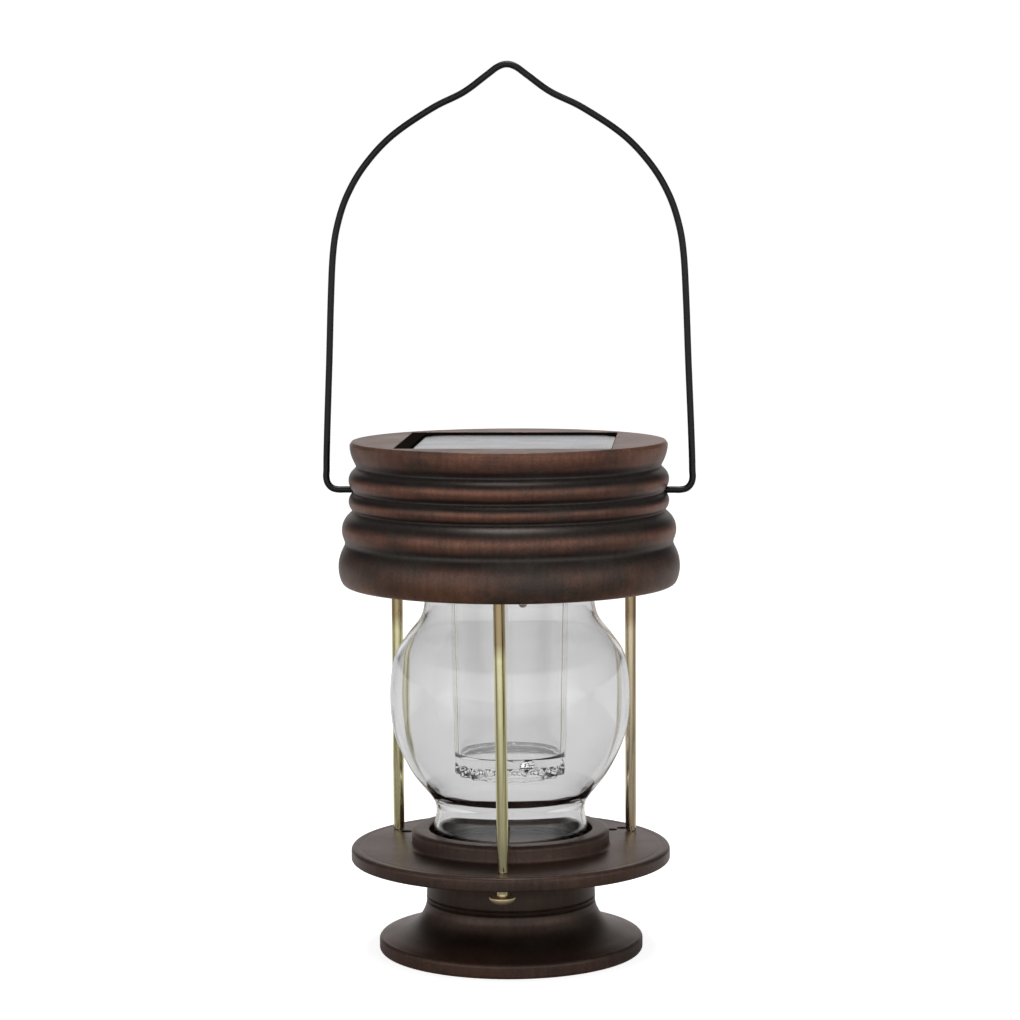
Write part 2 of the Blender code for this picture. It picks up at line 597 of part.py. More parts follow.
def add_battery(green):
    """Rechargeable AAA cell, its nub towards +X."""
    outline = [(0.0, 0.0), (0.0019, 0.0), (0.0019, -0.0008), (BATTERY_RADIUS - 0.0004, -0.0008)]
    outline += [(BATTERY_RADIUS, -0.0012), (BATTERY_RADIUS, 0.0004 - BATTERY_LENGTH)]
    outline += [(BATTERY_RADIUS - 0.0004, -BATTERY_LENGTH), (0.0, -BATTERY_LENGTH)]
    battery = turned("battery", outline, 20, green, location=(BATTERY_TIP_X, BATTERY_Y, BATTERY_Z))
    battery.rotation_euler = (0, math.radians(90), 0)


def add_battery_contacts(steel):
    """Flat contact at the cell's nub and a conical spring at its other end."""
    centre = (CONTACT_X - CONTACT_SIZE[0] / 2, BATTERY_Y, BATTERY_Z)
    add_mesh("battery_contact", box_shape(CONTACT_SIZE, centre), steel)
    start_x = -CONTACT_X + SPRING_WIRE
    end_x = BATTERY_TIP_X - BATTERY_LENGTH - GAP - SPRING_WIRE
    points = []
    for step in range(SPRING_TURNS * 8 + 1):
        share = step / (SPRING_TURNS * 8)
        radius = 0.0037 - 0.0015 * share
        angle = math.tau * SPRING_TURNS * share + math.radians(90)
        along = start_x + (end_x - start_x) * share
        points.append((along, BATTERY_Y + radius * math.cos(angle), BATTERY_Z + radius * math.sin(angle)))
    wire("battery_spring", points, SPRING_WIRE, steel)


# ---- Switch ----
def add_switch(black):
    """Push switch: a fixed body on the cover and a button that comes out through it."""
    centre = polar(SWITCH_CIRCLE, SWITCH_ANGLE)
    height = SWITCH_TOP - DECK
    shape = box_shape((SWITCH_SIDE, SWITCH_SIDE, height), (0, 0, DECK + height / 2), 0.0004)
    turn = Euler((0, 0, math.radians(SWITCH_ANGLE))).to_matrix()
    bmesh.ops.rotate(shape, matrix=turn, verts=shape.verts)
    bmesh.ops.translate(shape, vec=centre, verts=shape.verts)
    body = add_mesh("switch_body", shape, black)
    cut(body, "switch_pocket", cylinders_shape([centre], POCKET_RADIUS, DECK - 0.001, POCKET_TOP, SMALL))


def add_button(white):
    """The switch's button, held by a flange inside the switch body."""
    flange = POCKET_RADIUS - 0.0004
    outline = [(0.0, BUTTON_TOP), (flange, BUTTON_TOP), (flange, DECK + GAP)]
    outline += [(BUTTON_RADIUS, DECK + GAP), (BUTTON_RADIUS, BUTTON_BOTTOM + 0.0005)]
    outline += [(BUTTON_RADIUS - 0.0005, BUTTON_BOTTOM), (0.0, BUTTON_BOTTOM)]
    centre = polar(SWITCH_CIRCLE, SWITCH_ANGLE)
    turned("switch_button", outline, SMALL, white, location=centre)


# ---- Leads ----
def lead(name, points, material):
    """An insulated lead along a smooth run."""
    wire(name, smooth_path(points, 3), LEAD_RADIUS, material)


def add_leads(red, black):
    """Panel, battery and switch leads, each from its part to the board."""
    panel_underside = PANEL_TOP - PANEL_THICKNESS - GAP
    battery_end = BATTERY_Z + 0.0047
    for sign, side, colour in ((1, "plus", red), (-1, "minus", black)):
        run = [(0.0012, 0, panel_underside), (0.0012, 0, 0.1575), (0.003, 0.002, 0.150)]
        run += [(0.0042, 0.006, 0.140), (0.0042, 0.008, ON_BOARD)]
        lead("panel_lead_" + side, [(sign * x, y, z) for x, y, z in run], colour)
        run = [(BATTERY_Y, battery_end), (-0.0095, 0.1455), (-0.002, 0.1460)]
        run += [(0.0065, 0.1395), (0.008, ON_BOARD)]
        lead("battery_lead_" + side, [(sign * 0.0237, y, z) for y, z in run], colour)
    run = [(SWITCH_CIRCLE, SWITCH_TOP + GAP), (0.0350, 0.1335), (0.0285, 0.1365), (0.0215, 0.1345)]
    run += [(0.0180, ON_BOARD)]
    for sign, side in ((-1, "left"), (1, "right")):
        aside = polar(sign * 0.002, SWITCH_ANGLE + 90)
        points = [polar(radius, SWITCH_ANGLE, height) + aside for radius, height in run]
        lead("switch_lead_" + side, points, black)


# ---- Bail ----
def bail_side():
    """Wire centre of the +X half, from its end inside the cap to the peak, in the XZ plane."""
    end = [(BAIL_END_X, BAIL_PIVOT_Z), (0.0520, BAIL_PIVOT_Z), (0.0555, BAIL_PIVOT_Z + 0.0004)]
    corner = [(0.0581, BAIL_PIVOT_Z + 0.0021), (0.0589, BAIL_PIVOT_Z + 0.0050)]
    leg = [(0.0582, 0.1719), (0.0574, 0.1911), (0.0567, 0.2103), (0.0559, 0.2246)]
    shoulder = [(0.0544, 0.2340), (0.0512, 0.2435), (0.0456, 0.2529), (0.0368, 0.2623), (0.0240, 0.2709)]
    peak = [(0.0139, 0.2759), (0.0067, 0.2811), (0.0030, 0.2838)]
    return end + corner + leg + shoulder + peak


def add_bail(black):
    """One bent wire from hole to hole, with its origin on the swing axis."""
    side = bail_side()
    knots = [(-x, z) for x, z in side] + [(0.0, BAIL_PEAK_Z)] + side[::-1]
    flat = smooth_path(knots, 2)
    points = [(point.x, 0.0, point.y - BAIL_PIVOT_Z) for point in flat]
    bail = wire("bail_handle", points, BAIL_WIRE_RADIUS, black, resolution=2)
    bail.location = (0, 0, BAIL_PIVOT_Z)


def build():
    """Clears the scene and makes every piece."""
    for old in list(bpy.data.objects):
        bpy.data.objects.remove(old, do_unlink=True)
    copper_paint = make_material("copper_paint", (0.060, 0.030, 0.020), 0.42, 0.45)
    base_paint = make_material("base_paint", (0.038, 0.024, 0.019), 0.45, 0.4)
    brass = make_material("brass", (0.62, 0.52, 0.27), 0.3, 1.0)
    steel = make_material("steel", (0.55, 0.55, 0.54), 0.35, 1.0)
    glass = make_material("glass", (0.95, 0.96, 0.96), 0.02, 0.0, 1.0)
    acrylic = make_material("acrylic", (0.93, 0.94, 0.94), 0.05, 0.0, 1.0)
    cell_blue = make_material("solar_cell", (0.03, 0.035, 0.06), 0.15)
    rubber = make_material("rubber", (0.012, 0.010, 0.009), 0.8)
    black_wire = make_material("black_wire", (0.010, 0.010, 0.010), 0.4, 0.3)
    black_plastic = make_material("black_plastic", (0.02, 0.02, 0.02), 0.5)
    white_plastic = make_material("white_plastic", (0.80, 0.80, 0.78), 0.4)
    epoxy = make_material("led_epoxy", (0.75, 0.62, 0.30), 0.2)
    board_green = make_material("board_green", (0.02, 0.16, 0.06), 0.45)
    cell_green = make_material("battery_wrap", (0.05, 0.30, 0.12), 0.35)
    copper = make_material("copper_winding", (0.60, 0.25, 0.10), 0.35, 1.0)
    red_lead = make_material("red_lead", (0.50, 0.02, 0.02), 0.5)
    black_lead = make_material("black_lead", (0.02, 0.02, 0.02), 0.5)

    add_foot(base_paint)
    add_foot_screws(steel)
    add_plate(base_paint)
    add_rods(brass)
    add_rod_bottom_screws(brass)
    add_rod_top_screws(steel)
    add_globe(glass)
    add_gaskets(rubber)
    add_light_tube(acrylic)
    add_cap(copper_paint)
    add_panel(cell_blue, rubber)
    add_cover(copper_paint)
    add_cover_screws(steel)
    add_led(epoxy)
    add_holder(white_plastic)
    add_inner_screws(steel)
    add_board(board_green, black_plastic, copper)
    add_battery_cradle(black_plastic)
    add_battery(cell_green)
    add_battery_contacts(steel)
    add_switch(black_plastic)
    add_button(white_plastic)
    add_leads(red_lead, black_lead)
    add_bail(black_wire)


build()
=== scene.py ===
"""The looks of the solar lantern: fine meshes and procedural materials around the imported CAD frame."""
import json
import math

import bmesh
import bpy
from mathutils import Matrix, Vector, noise


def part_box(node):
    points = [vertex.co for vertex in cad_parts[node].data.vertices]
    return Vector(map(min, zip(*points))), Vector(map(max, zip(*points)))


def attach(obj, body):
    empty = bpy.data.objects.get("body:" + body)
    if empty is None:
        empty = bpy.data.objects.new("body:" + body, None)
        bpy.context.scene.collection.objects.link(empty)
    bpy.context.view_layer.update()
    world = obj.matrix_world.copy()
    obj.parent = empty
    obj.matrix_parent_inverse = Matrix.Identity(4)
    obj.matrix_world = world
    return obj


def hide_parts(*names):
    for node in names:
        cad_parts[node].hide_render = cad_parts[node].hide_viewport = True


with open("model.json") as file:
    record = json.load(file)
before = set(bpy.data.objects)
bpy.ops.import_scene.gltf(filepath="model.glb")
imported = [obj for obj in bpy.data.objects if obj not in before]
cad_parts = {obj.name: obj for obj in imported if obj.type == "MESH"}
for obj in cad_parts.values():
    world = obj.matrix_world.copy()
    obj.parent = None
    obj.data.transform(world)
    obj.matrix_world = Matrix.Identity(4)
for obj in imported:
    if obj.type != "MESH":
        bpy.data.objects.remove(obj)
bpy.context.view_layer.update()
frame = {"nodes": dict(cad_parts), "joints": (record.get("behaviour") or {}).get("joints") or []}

LANTERN = "lantern"
# GAP is the clearance between neighbours, and PAST is how far a cutter reaches beyond a face.
GAP = 0.0003
PAST = 0.001
SIDES = ("front", "right", "left")
COVER_SCREWS = ("rear", "front_left", "front_right")
SHANK = 0.00085
SHANK_HOLE = 0.0012
PIVOT_HEIGHT = frame["joints"][0]["pos_m"][2]


# ---- Outlines and paths ----
def polar(radius, degrees, height=0.0):
    """A point at a radius and an angle from +X."""
    angle = math.radians(degrees)
    return Vector((radius * math.cos(angle), radius * math.sin(angle), height))


def arc(centre, radius, start, end, steps):
    """Outline points along a circular arc, angles in degrees from the +R direction."""
    points = []
    for step in range(steps + 1):
        angle = math.radians(start + (end - start) * step / steps)
        points.append((centre[0] + radius * math.cos(angle), centre[1] + radius * math.sin(angle)))
    return points


def bulge(start, end, rise, steps):
    """Points after start, up to and with end, along the arc that stands out by rise at its middle."""
    chord = Vector((end[0] - start[0], end[1] - start[1]))
    middle = Vector(start) + chord / 2
    outward = Vector((-chord.y, chord.x)).normalized()
    radius = (chord.length ** 2 / 4 + rise ** 2) / (2 * rise)
    half_angle = math.asin(chord.length / 2 / radius)
    centre = middle - outward * (radius - rise)
    points = []
    for step in range(1, steps + 1):
        turn = half_angle * (2 * step / steps - 1)
        direction = outward * math.cos(turn) + chord.normalized() * math.sin(turn)
        point = centre + direction * radius
        points.append((point.x, point.y))
    return points


def smooth_path(points, steps):
    """Catmull-Rom curve through the points, which may be flat outlines or places in space."""
    knots = [Vector(point) for point in points]
    knots = [knots[0] * 2 - knots[1]] + knots + [knots[-1] * 2 - knots[-2]]
    path = []
    for before, start, end, after in zip(knots, knots[1:], knots[2:], knots[3:]):
        for step in range(steps):
            t = step / steps
            path.append(0.5 * (2 * start + (end - before) * t
                               + (2 * before - 5 * start + 4 * end - after) * t ** 2
                               + (3 * start - before - 3 * end + after) * t ** 3))
    path.append(knots[-2])
    return path


def relaxed(points, passes):
    """The same run with its corners eased; its two ends stay."""
    run = [Vector(point) for point in points]
    for _ in range(passes):
        middle = [(a + b * 2 + c) / 4 for a, b, c in zip(run, run[1:], run[2:])]
        run = [run[0]] + middle + [run[-1]]
    return [tuple(point) for point in run]


def shifted_inward(outline, wall):
    """A downward run of outline points moved towards the axis, square to the run."""
    shifted = []
    for index, point in enumerate(outline):
        before = Vector(outline[max(index - 1, 0)])
        after = Vector(outline[min(index + 1, len(outline) - 1)])
        along = (after - before).normalized()
        shifted.append((point[0] + along.y * wall, point[1] - along.x * wall))
    return shifted


def smoothstep(low, high, value):
    """0 below low, 1 above high, eased between."""
    share = min(max((value - low) / (high - low), 0.0), 1.0)
    return share * share * (3 - 2 * share)


# ---- Meshes ----
def turned_shape(outline, segments, at=(0, 0, 0)):
    """A bmesh turned about Z; an outline off the axis at both ends closes on itself."""
    shape = bmesh.new()
    verts = [shape.verts.new((point[0], 0.0, point[1])) for point in outline]
    edges = [shape.edges.new(pair) for pair in zip(verts, verts[1:])]
    if outline[0][0] > 0:
        edges.append(shape.edges.new((verts[-1], verts[0])))
    bmesh.ops.spin(shape, geom=verts + edges, cent=(0, 0, 0), axis=(0, 0, 1), angle=math.tau,
                   steps=segments, use_merge=True)
    bmesh.ops.remove_doubles(shape, verts=shape.verts, dist=0.000001)
    bmesh.ops.translate(shape, vec=at, verts=shape.verts)
    return shape


def cylinders_shape(places, radius, bottom, top, segments=32):
    """Upright cylinders of one size at several places."""
    shape = bmesh.new()
    for place in places:
        made = bmesh.ops.create_cone(shape, cap_ends=True, segments=segments, radius1=radius,
                                     radius2=radius, depth=top - bottom)
        middle = Vector((place[0], place[1], (top + bottom) / 2))
        bmesh.ops.translate(shape, vec=middle, verts=made["verts"])
    return shape


def box_shape(low, high, bevel=0.0, segments=2):
    """A box between two corners with eased edges."""
    shape = bmesh.new()
    bmesh.ops.create_cube(shape, size=1.0)
    size = Vector(high) - Vector(low)
    bmesh.ops.scale(shape, vec=size, verts=shape.verts)
    bmesh.ops.translate(shape, vec=(Vector(high) + Vector(low)) / 2, verts=shape.verts)
    if bevel:
        bmesh.ops.bevel(shape, geom=shape.edges[:], offset=bevel, segments=segments, profile=0.7,
                        affect="EDGES")
    return shape


def join_rings(shape, rings):
    """Quads from each ring of vertices to the next, and a face over both ends."""
    count = len(rings[0])
    for first, second in zip(rings, rings[1:]):
        for step in range(count):
            after = (step + 1) % count
            shape.faces.new((first[step], first[after], second[after], second[step]))
    shape.faces.new(rings[0][::-1])
    shape.faces.new(rings[-1])


def swept_shape(path, radius, sides):
    """A round wire along a path, its section carried along without twist, with domed ends."""
    shape = bmesh.new()
    points = [Vector(point) for point in path]
    tangents = []
    for index in range(len(points)):
        before = points[max(index - 1, 0)]
        after = points[min(index + 1, len(points) - 1)]
        tangents.append((after - before).normalized())
    stations = list(zip(points, tangents, [radius] * len(points)))
    for share in (0.35, 0.75, 0.97):
        shrink = radius * math.sqrt(1 - share ** 2)
        stations.insert(0, (points[0] - tangents[0] * radius * share, tangents[0], shrink))
        stations.append((points[-1] + tangents[-1] * radius * share, tangents[-1], shrink))
    side = tangents[0].orthogonal().normalized()
    rings = []
    for point, tangent, size in stations:
        side = (side - tangent * side.dot(tangent)).normalized()
        up = tangent.cross(side)
        circle = []
        for step in range(sides):
            angle = math.tau * step / sides
            circle.append(shape.verts.new(point + (side * math.cos(angle) + up * math.sin(angle)) * size))
        rings.append(circle)
    join_rings(shape, rings)
    return shape


def make_object(name, shape, material, sharp=35):
    """An object from a bmesh, shaded smooth with sharp creases."""
    mesh = bpy.data.meshes.new(name)
    bmesh.ops.recalc_face_normals(shape, faces=shape.faces)
    shape.to_mesh(mesh)
    shape.free()
    mesh.shade_smooth()
    mesh.set_sharp_from_angle(angle=math.radians(sharp))
    mesh.materials.append(material)
    made = bpy.data.objects.new(name, mesh)
    bpy.context.scene.collection.objects.link(made)
    return made


def cut(piece, shape, sharp=35):
    """Cuts a shape out of a piece for good."""
    cutter = make_object("cutter", shape, piece.data.materials[0])
    modifier = piece.modifiers.new("cut", "BOOLEAN")
    modifier.operation = "DIFFERENCE"
    modifier.object = cutter
    modifier.solver = "EXACT"
    bpy.context.view_layer.update()
    graph = bpy.context.evaluated_depsgraph_get()
    mesh = bpy.data.meshes.new_from_object(piece.evaluated_get(graph))
    piece.modifiers.clear()
    piece.data = mesh
    mesh.shade_smooth()
    mesh.set_sharp_from_angle(angle=math.radians(sharp))
    bpy.data.objects.remove(cutter, do_unlink=True)


def settle(piece, nodes, body=LANTERN):
    """The piece rides on its body and stands for its CAD nodes."""
    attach(piece, body)
    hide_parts(*nodes)


# ---- Material helpers ----
def add_node(tree, kind, inputs=None, **settings):
    """A node with its settings, its input values and its links."""
    made = tree.nodes.new(kind)
    for name, value in settings.items():
        setattr(made, name, value)
    for key, value in (inputs or {}).items():
        if isinstance(value, bpy.types.NodeSocket):
            tree.links.new(value, made.inputs[key])
        else:
            made.inputs[key].default_value = value
    return made


def calculate(tree, operation, *values):
    """A plain operation on one or two values."""
    return add_node(tree, "ShaderNodeMath", dict(enumerate(values)), operation=operation).outputs[0]


def axes(tree, place):
    """The X, Y and Z of a place."""
    return add_node(tree, "ShaderNodeSeparateXYZ", {"Vector": place}).outputs


def new_surface(name, **values):
    """A material with a Principled shader whose plain values are set on its own sockets."""
    material = bpy.data.materials.new(name)
    material.use_nodes = True
    tree = material.node_tree
    shader = tree.nodes["Principled BSDF"]
    for key, value in values.items():
        shader.inputs[key.replace("_", " ")].default_value = value
    return material, tree, shader


def object_place(tree, scale=(1, 1, 1)):
    """The place on the object in metres, stretched for textures that run one way."""
    coordinates = add_node(tree, "ShaderNodeTexCoord")
    mapping = add_node(tree, "ShaderNodeMapping", {"Vector": coordinates.outputs["Object"], "Scale": scale})
    return mapping.outputs["Vector"]


def noise_value(tree, place, scale, detail=3.0, roughness=0.55):
    """Noise from 0 to 1."""
    inputs = {"Vector": place, "Scale": scale, "Detail": detail, "Roughness": roughness}
    return add_node(tree, "ShaderNodeTexNoise", inputs).outputs["Fac"]


def ramp(tree, value, stops, interpolation="EASE"):
    """A colour ramp; each stop is a position and a colour or a grey."""
    made = add_node(tree, "ShaderNodeValToRGB", {"Fac": value})
    made.color_ramp.interpolation = interpolation
    elements = made.color_ramp.elements
    while len(elements) < len(stops):
        elements.new(0.5)
    for element, (position, colour) in zip(elements, stops):
        element.position = position
        grey = isinstance(colour, (int, float))
        element.color = (colour, colour, colour, 1.0) if grey else (*colour, 1.0)
    return made.outputs["Color"]


def remap(tree, value, low, high, to_low, to_high):
    """A value stretched from one range to another."""
    inputs = {"Value": value, "From Min": low, "From Max": high, "To Min": to_low, "To Max": to_high}
    return add_node(tree, "ShaderNodeMapRange", inputs).outputs["Result"]


def blend_colours(tree, share, first, second, kind="MIX"):
    """Two colours mixed by a share."""
    made = add_node(tree, "ShaderNodeMix", data_type="RGBA", blend_type=kind)
    for index, value in ((0, share), (6, first), (7, second)):
        if isinstance(value, bpy.types.NodeSocket):
            tree.links.new(value, made.inputs[index])
        else:
            made.inputs[index].default_value = value if index == 0 else (*value, 1.0)
    return made.outputs[2]


def bump(tree, shader, height, strength, distance):
    """Fine relief on the shader."""
    inputs = {"Height": height, "Strength": strength, "Distance": distance}
    made = add_node(tree, "ShaderNodeBump", inputs)
    tree.links.new(made.outputs["Normal"], shader.inputs["Normal"])


def height_share(tree, low, high):
    """How far up between two heights, 0 to 1."""
    return remap(tree, axes(tree, object_place(tree))["Z"], low, high, 0.0, 1.0)


# ---- Materials ----
def antique_paint(name, bands, low, high, patina, coat):
    """Satin bronze paint in bands up the piece, the bands holding painted highlights and painted shade as
    well as the paint's own tones, with clouds of patina, upright brushing and specks.
    """
    material, tree, shader = new_surface(name, Metallic=0.4, Coat_Weight=coat, Coat_Roughness=0.30,
                                         Specular_Tint=(1.0, 0.84, 0.78, 1.0))
    share = height_share(tree, low, high)
    wobble = noise_value(tree, object_place(tree), 55.0, 2.0)
    wobbled = calculate(tree, "ADD", share, remap(tree, wobble, 0.0, 1.0, -0.012, 0.012))
    # The band colours include painted highlights and painted shade.
    colour = ramp(tree, wobbled, bands)
    cloud = noise_value(tree, object_place(tree, (1, 1, 1.6)), 34.0, 6.0, 0.66)
    colour = blend_colours(tree, remap(tree, cloud, 0.44, 0.66, 0.0, 0.85), colour, patina)
    streaks = noise_value(tree, object_place(tree, (1, 1, 0.05)), 700.0, 2.0, 0.5)
    streak_tone = ramp(tree, streaks, [(0.3, 0.86), (0.7, 1.16)], "LINEAR")
    colour = blend_colours(tree, 1.0, colour, streak_tone, "MULTIPLY")
    specks = noise_value(tree, object_place(tree), 1300.0, 3.0, 0.6)
    speck_tone = ramp(tree, specks, [(0.32, 0.82), (0.68, 1.16)], "LINEAR")
    colour = blend_colours(tree, 1.0, colour, speck_tone, "MULTIPLY")
    tree.links.new(colour, shader.inputs["Base Color"])
    rough = remap(tree, cloud, 0.3, 0.7, 0.36, 0.46)
    tree.links.new(rough, shader.inputs["Roughness"])
    bump(tree, shader, calculate(tree, "ADD", streaks, specks), 0.10, 0.00008)
    return material


def brass_surface():
    """Drawn brass: fine lines along the rod, painted brown shade near the rods' tops for the cap's shadow
    and its dark reflection, pinker at the right, golden screws.
    """
    material, tree, shader = new_surface("brass", Metallic=1.0)
    lines = noise_value(tree, object_place(tree, (1, 1, 0.01)), 2600.0, 2.0)
    tarnish = noise_value(tree, object_place(tree, (1, 1, 0.5)), 120.0, 4.0)
    parts = axes(tree, object_place(tree))
    colour = ramp(tree, tarnish, [(0.30, (0.90, 0.84, 0.50)), (0.58, (0.80, 0.74, 0.42)),
                                  (0.80, (0.50, 0.40, 0.20))])
    right = remap(tree, parts["X"], 0.028, 0.034, 0.0, 0.8)
    colour = blend_colours(tree, right, colour, (0.78, 0.64, 0.46))
    # Painted shade: brown near the rods' tops, for the cap's shadow and the reflection of its dark
    # underside.
    painted_cap_shade = remap(tree, parts["Z"], 0.1010, 0.1060, 0.0, 0.80)
    colour = blend_colours(tree, painted_cap_shade, colour, (0.36, 0.25, 0.13))
    golden = remap(tree, parts["Z"], 0.0275, 0.0285, 1.0, 0.0)
    colour = blend_colours(tree, golden, colour, (0.98, 0.80, 0.50))
    tree.links.new(colour, shader.inputs["Base Color"])
    polish = remap(tree, tarnish, 0.3, 0.7, 0.15, 0.25)
    satin = calculate(tree, "MULTIPLY", golden, 0.45)
    tree.links.new(calculate(tree, "MAXIMUM", polish, satin), shader.inputs["Roughness"])
    bump(tree, shader, lines, 0.08, 0.00004)
    return material


def steel_surface(name="steel", colour=(0.58, 0.57, 0.55)):
    """Zinc-plated steel."""
    material, tree, shader = new_surface(name, Metallic=1.0)
    mottle = noise_value(tree, object_place(tree), 700.0, 4.0)
    dark = tuple(channel * 0.72 for channel in colour)
    tree.links.new(ramp(tree, mottle, [(0.3, dark), (0.7, colour)]), shader.inputs["Base Color"])
    tree.links.new(remap(tree, mottle, 0.3, 0.7, 0.25, 0.42), shader.inputs["Roughness"])
    bump(tree, shader, mottle, 0.1, 0.00005)
    return material


def glass_surface():
    """Clear blown glass with a faint grey body and soft waviness."""
    material, tree, shader = new_surface("globe_glass", Transmission_Weight=1.0, IOR=1.47, Roughness=0.0)
    wave = noise_value(tree, object_place(tree, (1, 1, 0.7)), 42.0, 2.0)
    tint = ramp(tree, wave, [(0.3, (0.972, 0.970, 0.972)), (0.7, (0.988, 0.986, 0.987))])
    tree.links.new(tint, shader.inputs["Base Color"])
    bump(tree, shader, wave, 0.25, 0.0006)
    return material


def acrylic_surface():
    """Clear moulded plastic with faint flow lines along the tube."""
    material, tree, shader = new_surface("clear_acrylic", Transmission_Weight=1.0, IOR=1.49, Roughness=0.015)
    flow = noise_value(tree, object_place(tree, (1, 1, 0.04)), 160.0, 2.0)
    tint = ramp(tree, flow, [(0.3, (0.975, 0.978, 0.978)), (0.7, (0.99, 0.99, 0.99))])
    tree.links.new(tint, shader.inputs["Base Color"])
    bump(tree, shader, flow, 0.1, 0.0002)
    return material


def wire_surface():
    """Black satin paint on wire, a little uneven."""
    material, tree, shader = new_surface("black_wire", Specular_IOR_Level=0.30)
    skin = noise_value(tree, object_place(tree), 900.0, 3.0)
    tree.links.new(ramp(tree, skin, [(0.3, (0.003, 0.003, 0.003)), (0.7, (0.008, 0.0075, 0.007))]),
                   shader.inputs["Base Color"])
    tree.links.new(remap(tree, skin, 0.3, 0.7, 0.30, 0.45), shader.inputs["Roughness"])
    bump(tree, shader, skin, 0.2, 0.00008)
    return material


def plastic_surface(name, colour, roughness, grain=1400.0):
    """Moulded plastic with a fine grain."""
    material, tree, shader = new_surface(name)
    cloud = noise_value(tree, object_place(tree), grain, 3.0)
    dark = tuple(channel * 0.86 for channel in colour)
    tree.links.new(ramp(tree, cloud, [(0.3, dark), (0.7, colour)]), shader.inputs["Base Color"])
    rough = remap(tree, cloud, 0.3, 0.7, roughness - 0.06, roughness + 0.08)
    tree.links.new(rough, shader.inputs["Roughness"])
    bump(tree, shader, cloud, 0.12, 0.00006)
    return material


def foam_surface():
    """Black closed-cell foam."""
    material, tree, shader = new_surface("gasket_rubber", Specular_IOR_Level=0.0)
    cells = add_node(tree, "ShaderNodeTexVoronoi", {"Vector": object_place(tree), "Scale": 2600.0})
    pores = cells.outputs["Distance"]
    tree.links.new(ramp(tree, pores, [(0.0, (0.002, 0.002, 0.002)), (0.6, (0.010, 0.008, 0.007))]),
                   shader.inputs["Base Color"])
    tree.links.new(remap(tree, pores, 0.0, 1.0, 0.95, 0.8), shader.inputs["Roughness"])
    bump(tree, shader, pores, 0.5, 0.0002)
    return material


FINGER_PITCH, BUS_PITCH, CELL_PITCH = 0.0011, 0.0048, 0.0096
CELL_BORDER = 0.0022


def panel_surface(low, high):
    """Dark blue cells in strips, with silver fingers and bus lines, under clear resin."""
    middle = (low + high) / 2
    half = (high.x - low.x) / 2
    material, tree, shader = new_surface("solar_cell", Coat_Weight=1.0, Coat_Roughness=0.26, Coat_IOR=1.75,
                                         Specular_IOR_Level=0.6)
    coordinates = add_node(tree, "ShaderNodeTexCoord")
    centred = add_node(tree, "ShaderNodeMapping", {"Vector": coordinates.outputs["Object"],
                                                   "Location": (-middle.x, -middle.y, 0)})
    parts = axes(tree, centred.outputs["Vector"])
    across, along = parts["X"], parts["Y"]

    def lines(value, pitch, width):
        """1 on thin lines that repeat at a pitch."""
        return calculate(tree, "LESS_THAN", calculate(tree, "PINGPONG", value, pitch), width / 2)

    grain = add_node(tree, "ShaderNodeTexVoronoi", {"Vector": coordinates.outputs["Object"], "Scale": 420.0})
    shade = noise_value(tree, coordinates.outputs["Object"], 90.0, 3.0)
    cell = blend_colours(tree, shade, (0.006, 0.009, 0.026), (0.012, 0.020, 0.052))
    cell = blend_colours(tree, 0.18, cell, grain.outputs["Color"], "SOFT_LIGHT")
    cell = blend_colours(tree, lines(across, FINGER_PITCH, 0.00012), cell, (0.05, 0.055, 0.065))
    cell = blend_colours(tree, lines(along, BUS_PITCH, 0.0004), cell, (0.14, 0.145, 0.15))
    cell = blend_colours(tree, lines(across, CELL_PITCH, 0.0007), cell, (0.004, 0.004, 0.006))
    reach_x, reach_y = calculate(tree, "ABSOLUTE", across), calculate(tree, "ABSOLUTE", along)
    reach = calculate(tree, "MAXIMUM", reach_x, reach_y)
    border = calculate(tree, "GREATER_THAN", reach, half - CELL_BORDER)
    cell = blend_colours(tree, border, cell, (0.007, 0.007, 0.009))
    tree.links.new(cell, shader.inputs["Base Color"])
    tree.links.new(remap(tree, shade, 0.3, 0.7, 0.28, 0.40), shader.inputs["Roughness"])
    bump(tree, shader, shade, 0.05, 0.0002)
    return material


def epoxy_surface():
    """Clear epoxy of the LED, a little amber from the phosphor."""
    material, tree, shader = new_surface("led_epoxy", Transmission_Weight=0.75, IOR=1.52, Roughness=0.08)
    glow = noise_value(tree, object_place(tree), 1500.0, 2.0)
    tree.links.new(ramp(tree, glow, [(0.3, (0.42, 0.30, 0.20)), (0.7, (0.62, 0.50, 0.36))]),
                   shader.inputs["Base Color"])
    return material


def floor_surface():
    """White to the viewer; in reflections bright far in front, dim round the lantern and pale behind it."""
    material, tree, shader = new_surface("studio_floor", Roughness=0.9, Specular_IOR_Level=0.0)
    view = add_node(tree, "ShaderNodeLightPath").outputs["Is Camera Ray"]
    share = remap(tree, axes(tree, object_place(tree))["Y"], -1.0, 0.5, 0.0, 1.0)
    paper = noise_value(tree, object_place(tree), 300.0, 2.0)
    tone = ramp(tree, paper, [(0.3, 0.76), (0.7, 0.78)])
    bounce = ramp(tree, share, [(0.0, 0.30), (0.40, 0.16), (0.60, 0.16), (0.80, 0.30)])
    tree.links.new(blend_colours(tree, view, bounce, tone), shader.inputs["Base Color"])
    glow = ramp(tree, share, [(0.0, 0.75), (0.34, 0.62), (0.47, 0.12), (0.60, 0.05), (0.80, BACKDROP_GLOW)])
    tree.links.new(blend_colours(tree, view, glow, (FLOOR_GLOW, FLOOR_GLOW, FLOOR_GLOW)),
                   shader.inputs["Emission Color"])
    shader.inputs["Emission Strength"].default_value = 1.0
    return material


# ---- Cap ----
CAP_LOW, CAP_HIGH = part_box("cap_shell")
RIM_RADIUS = 0.0497
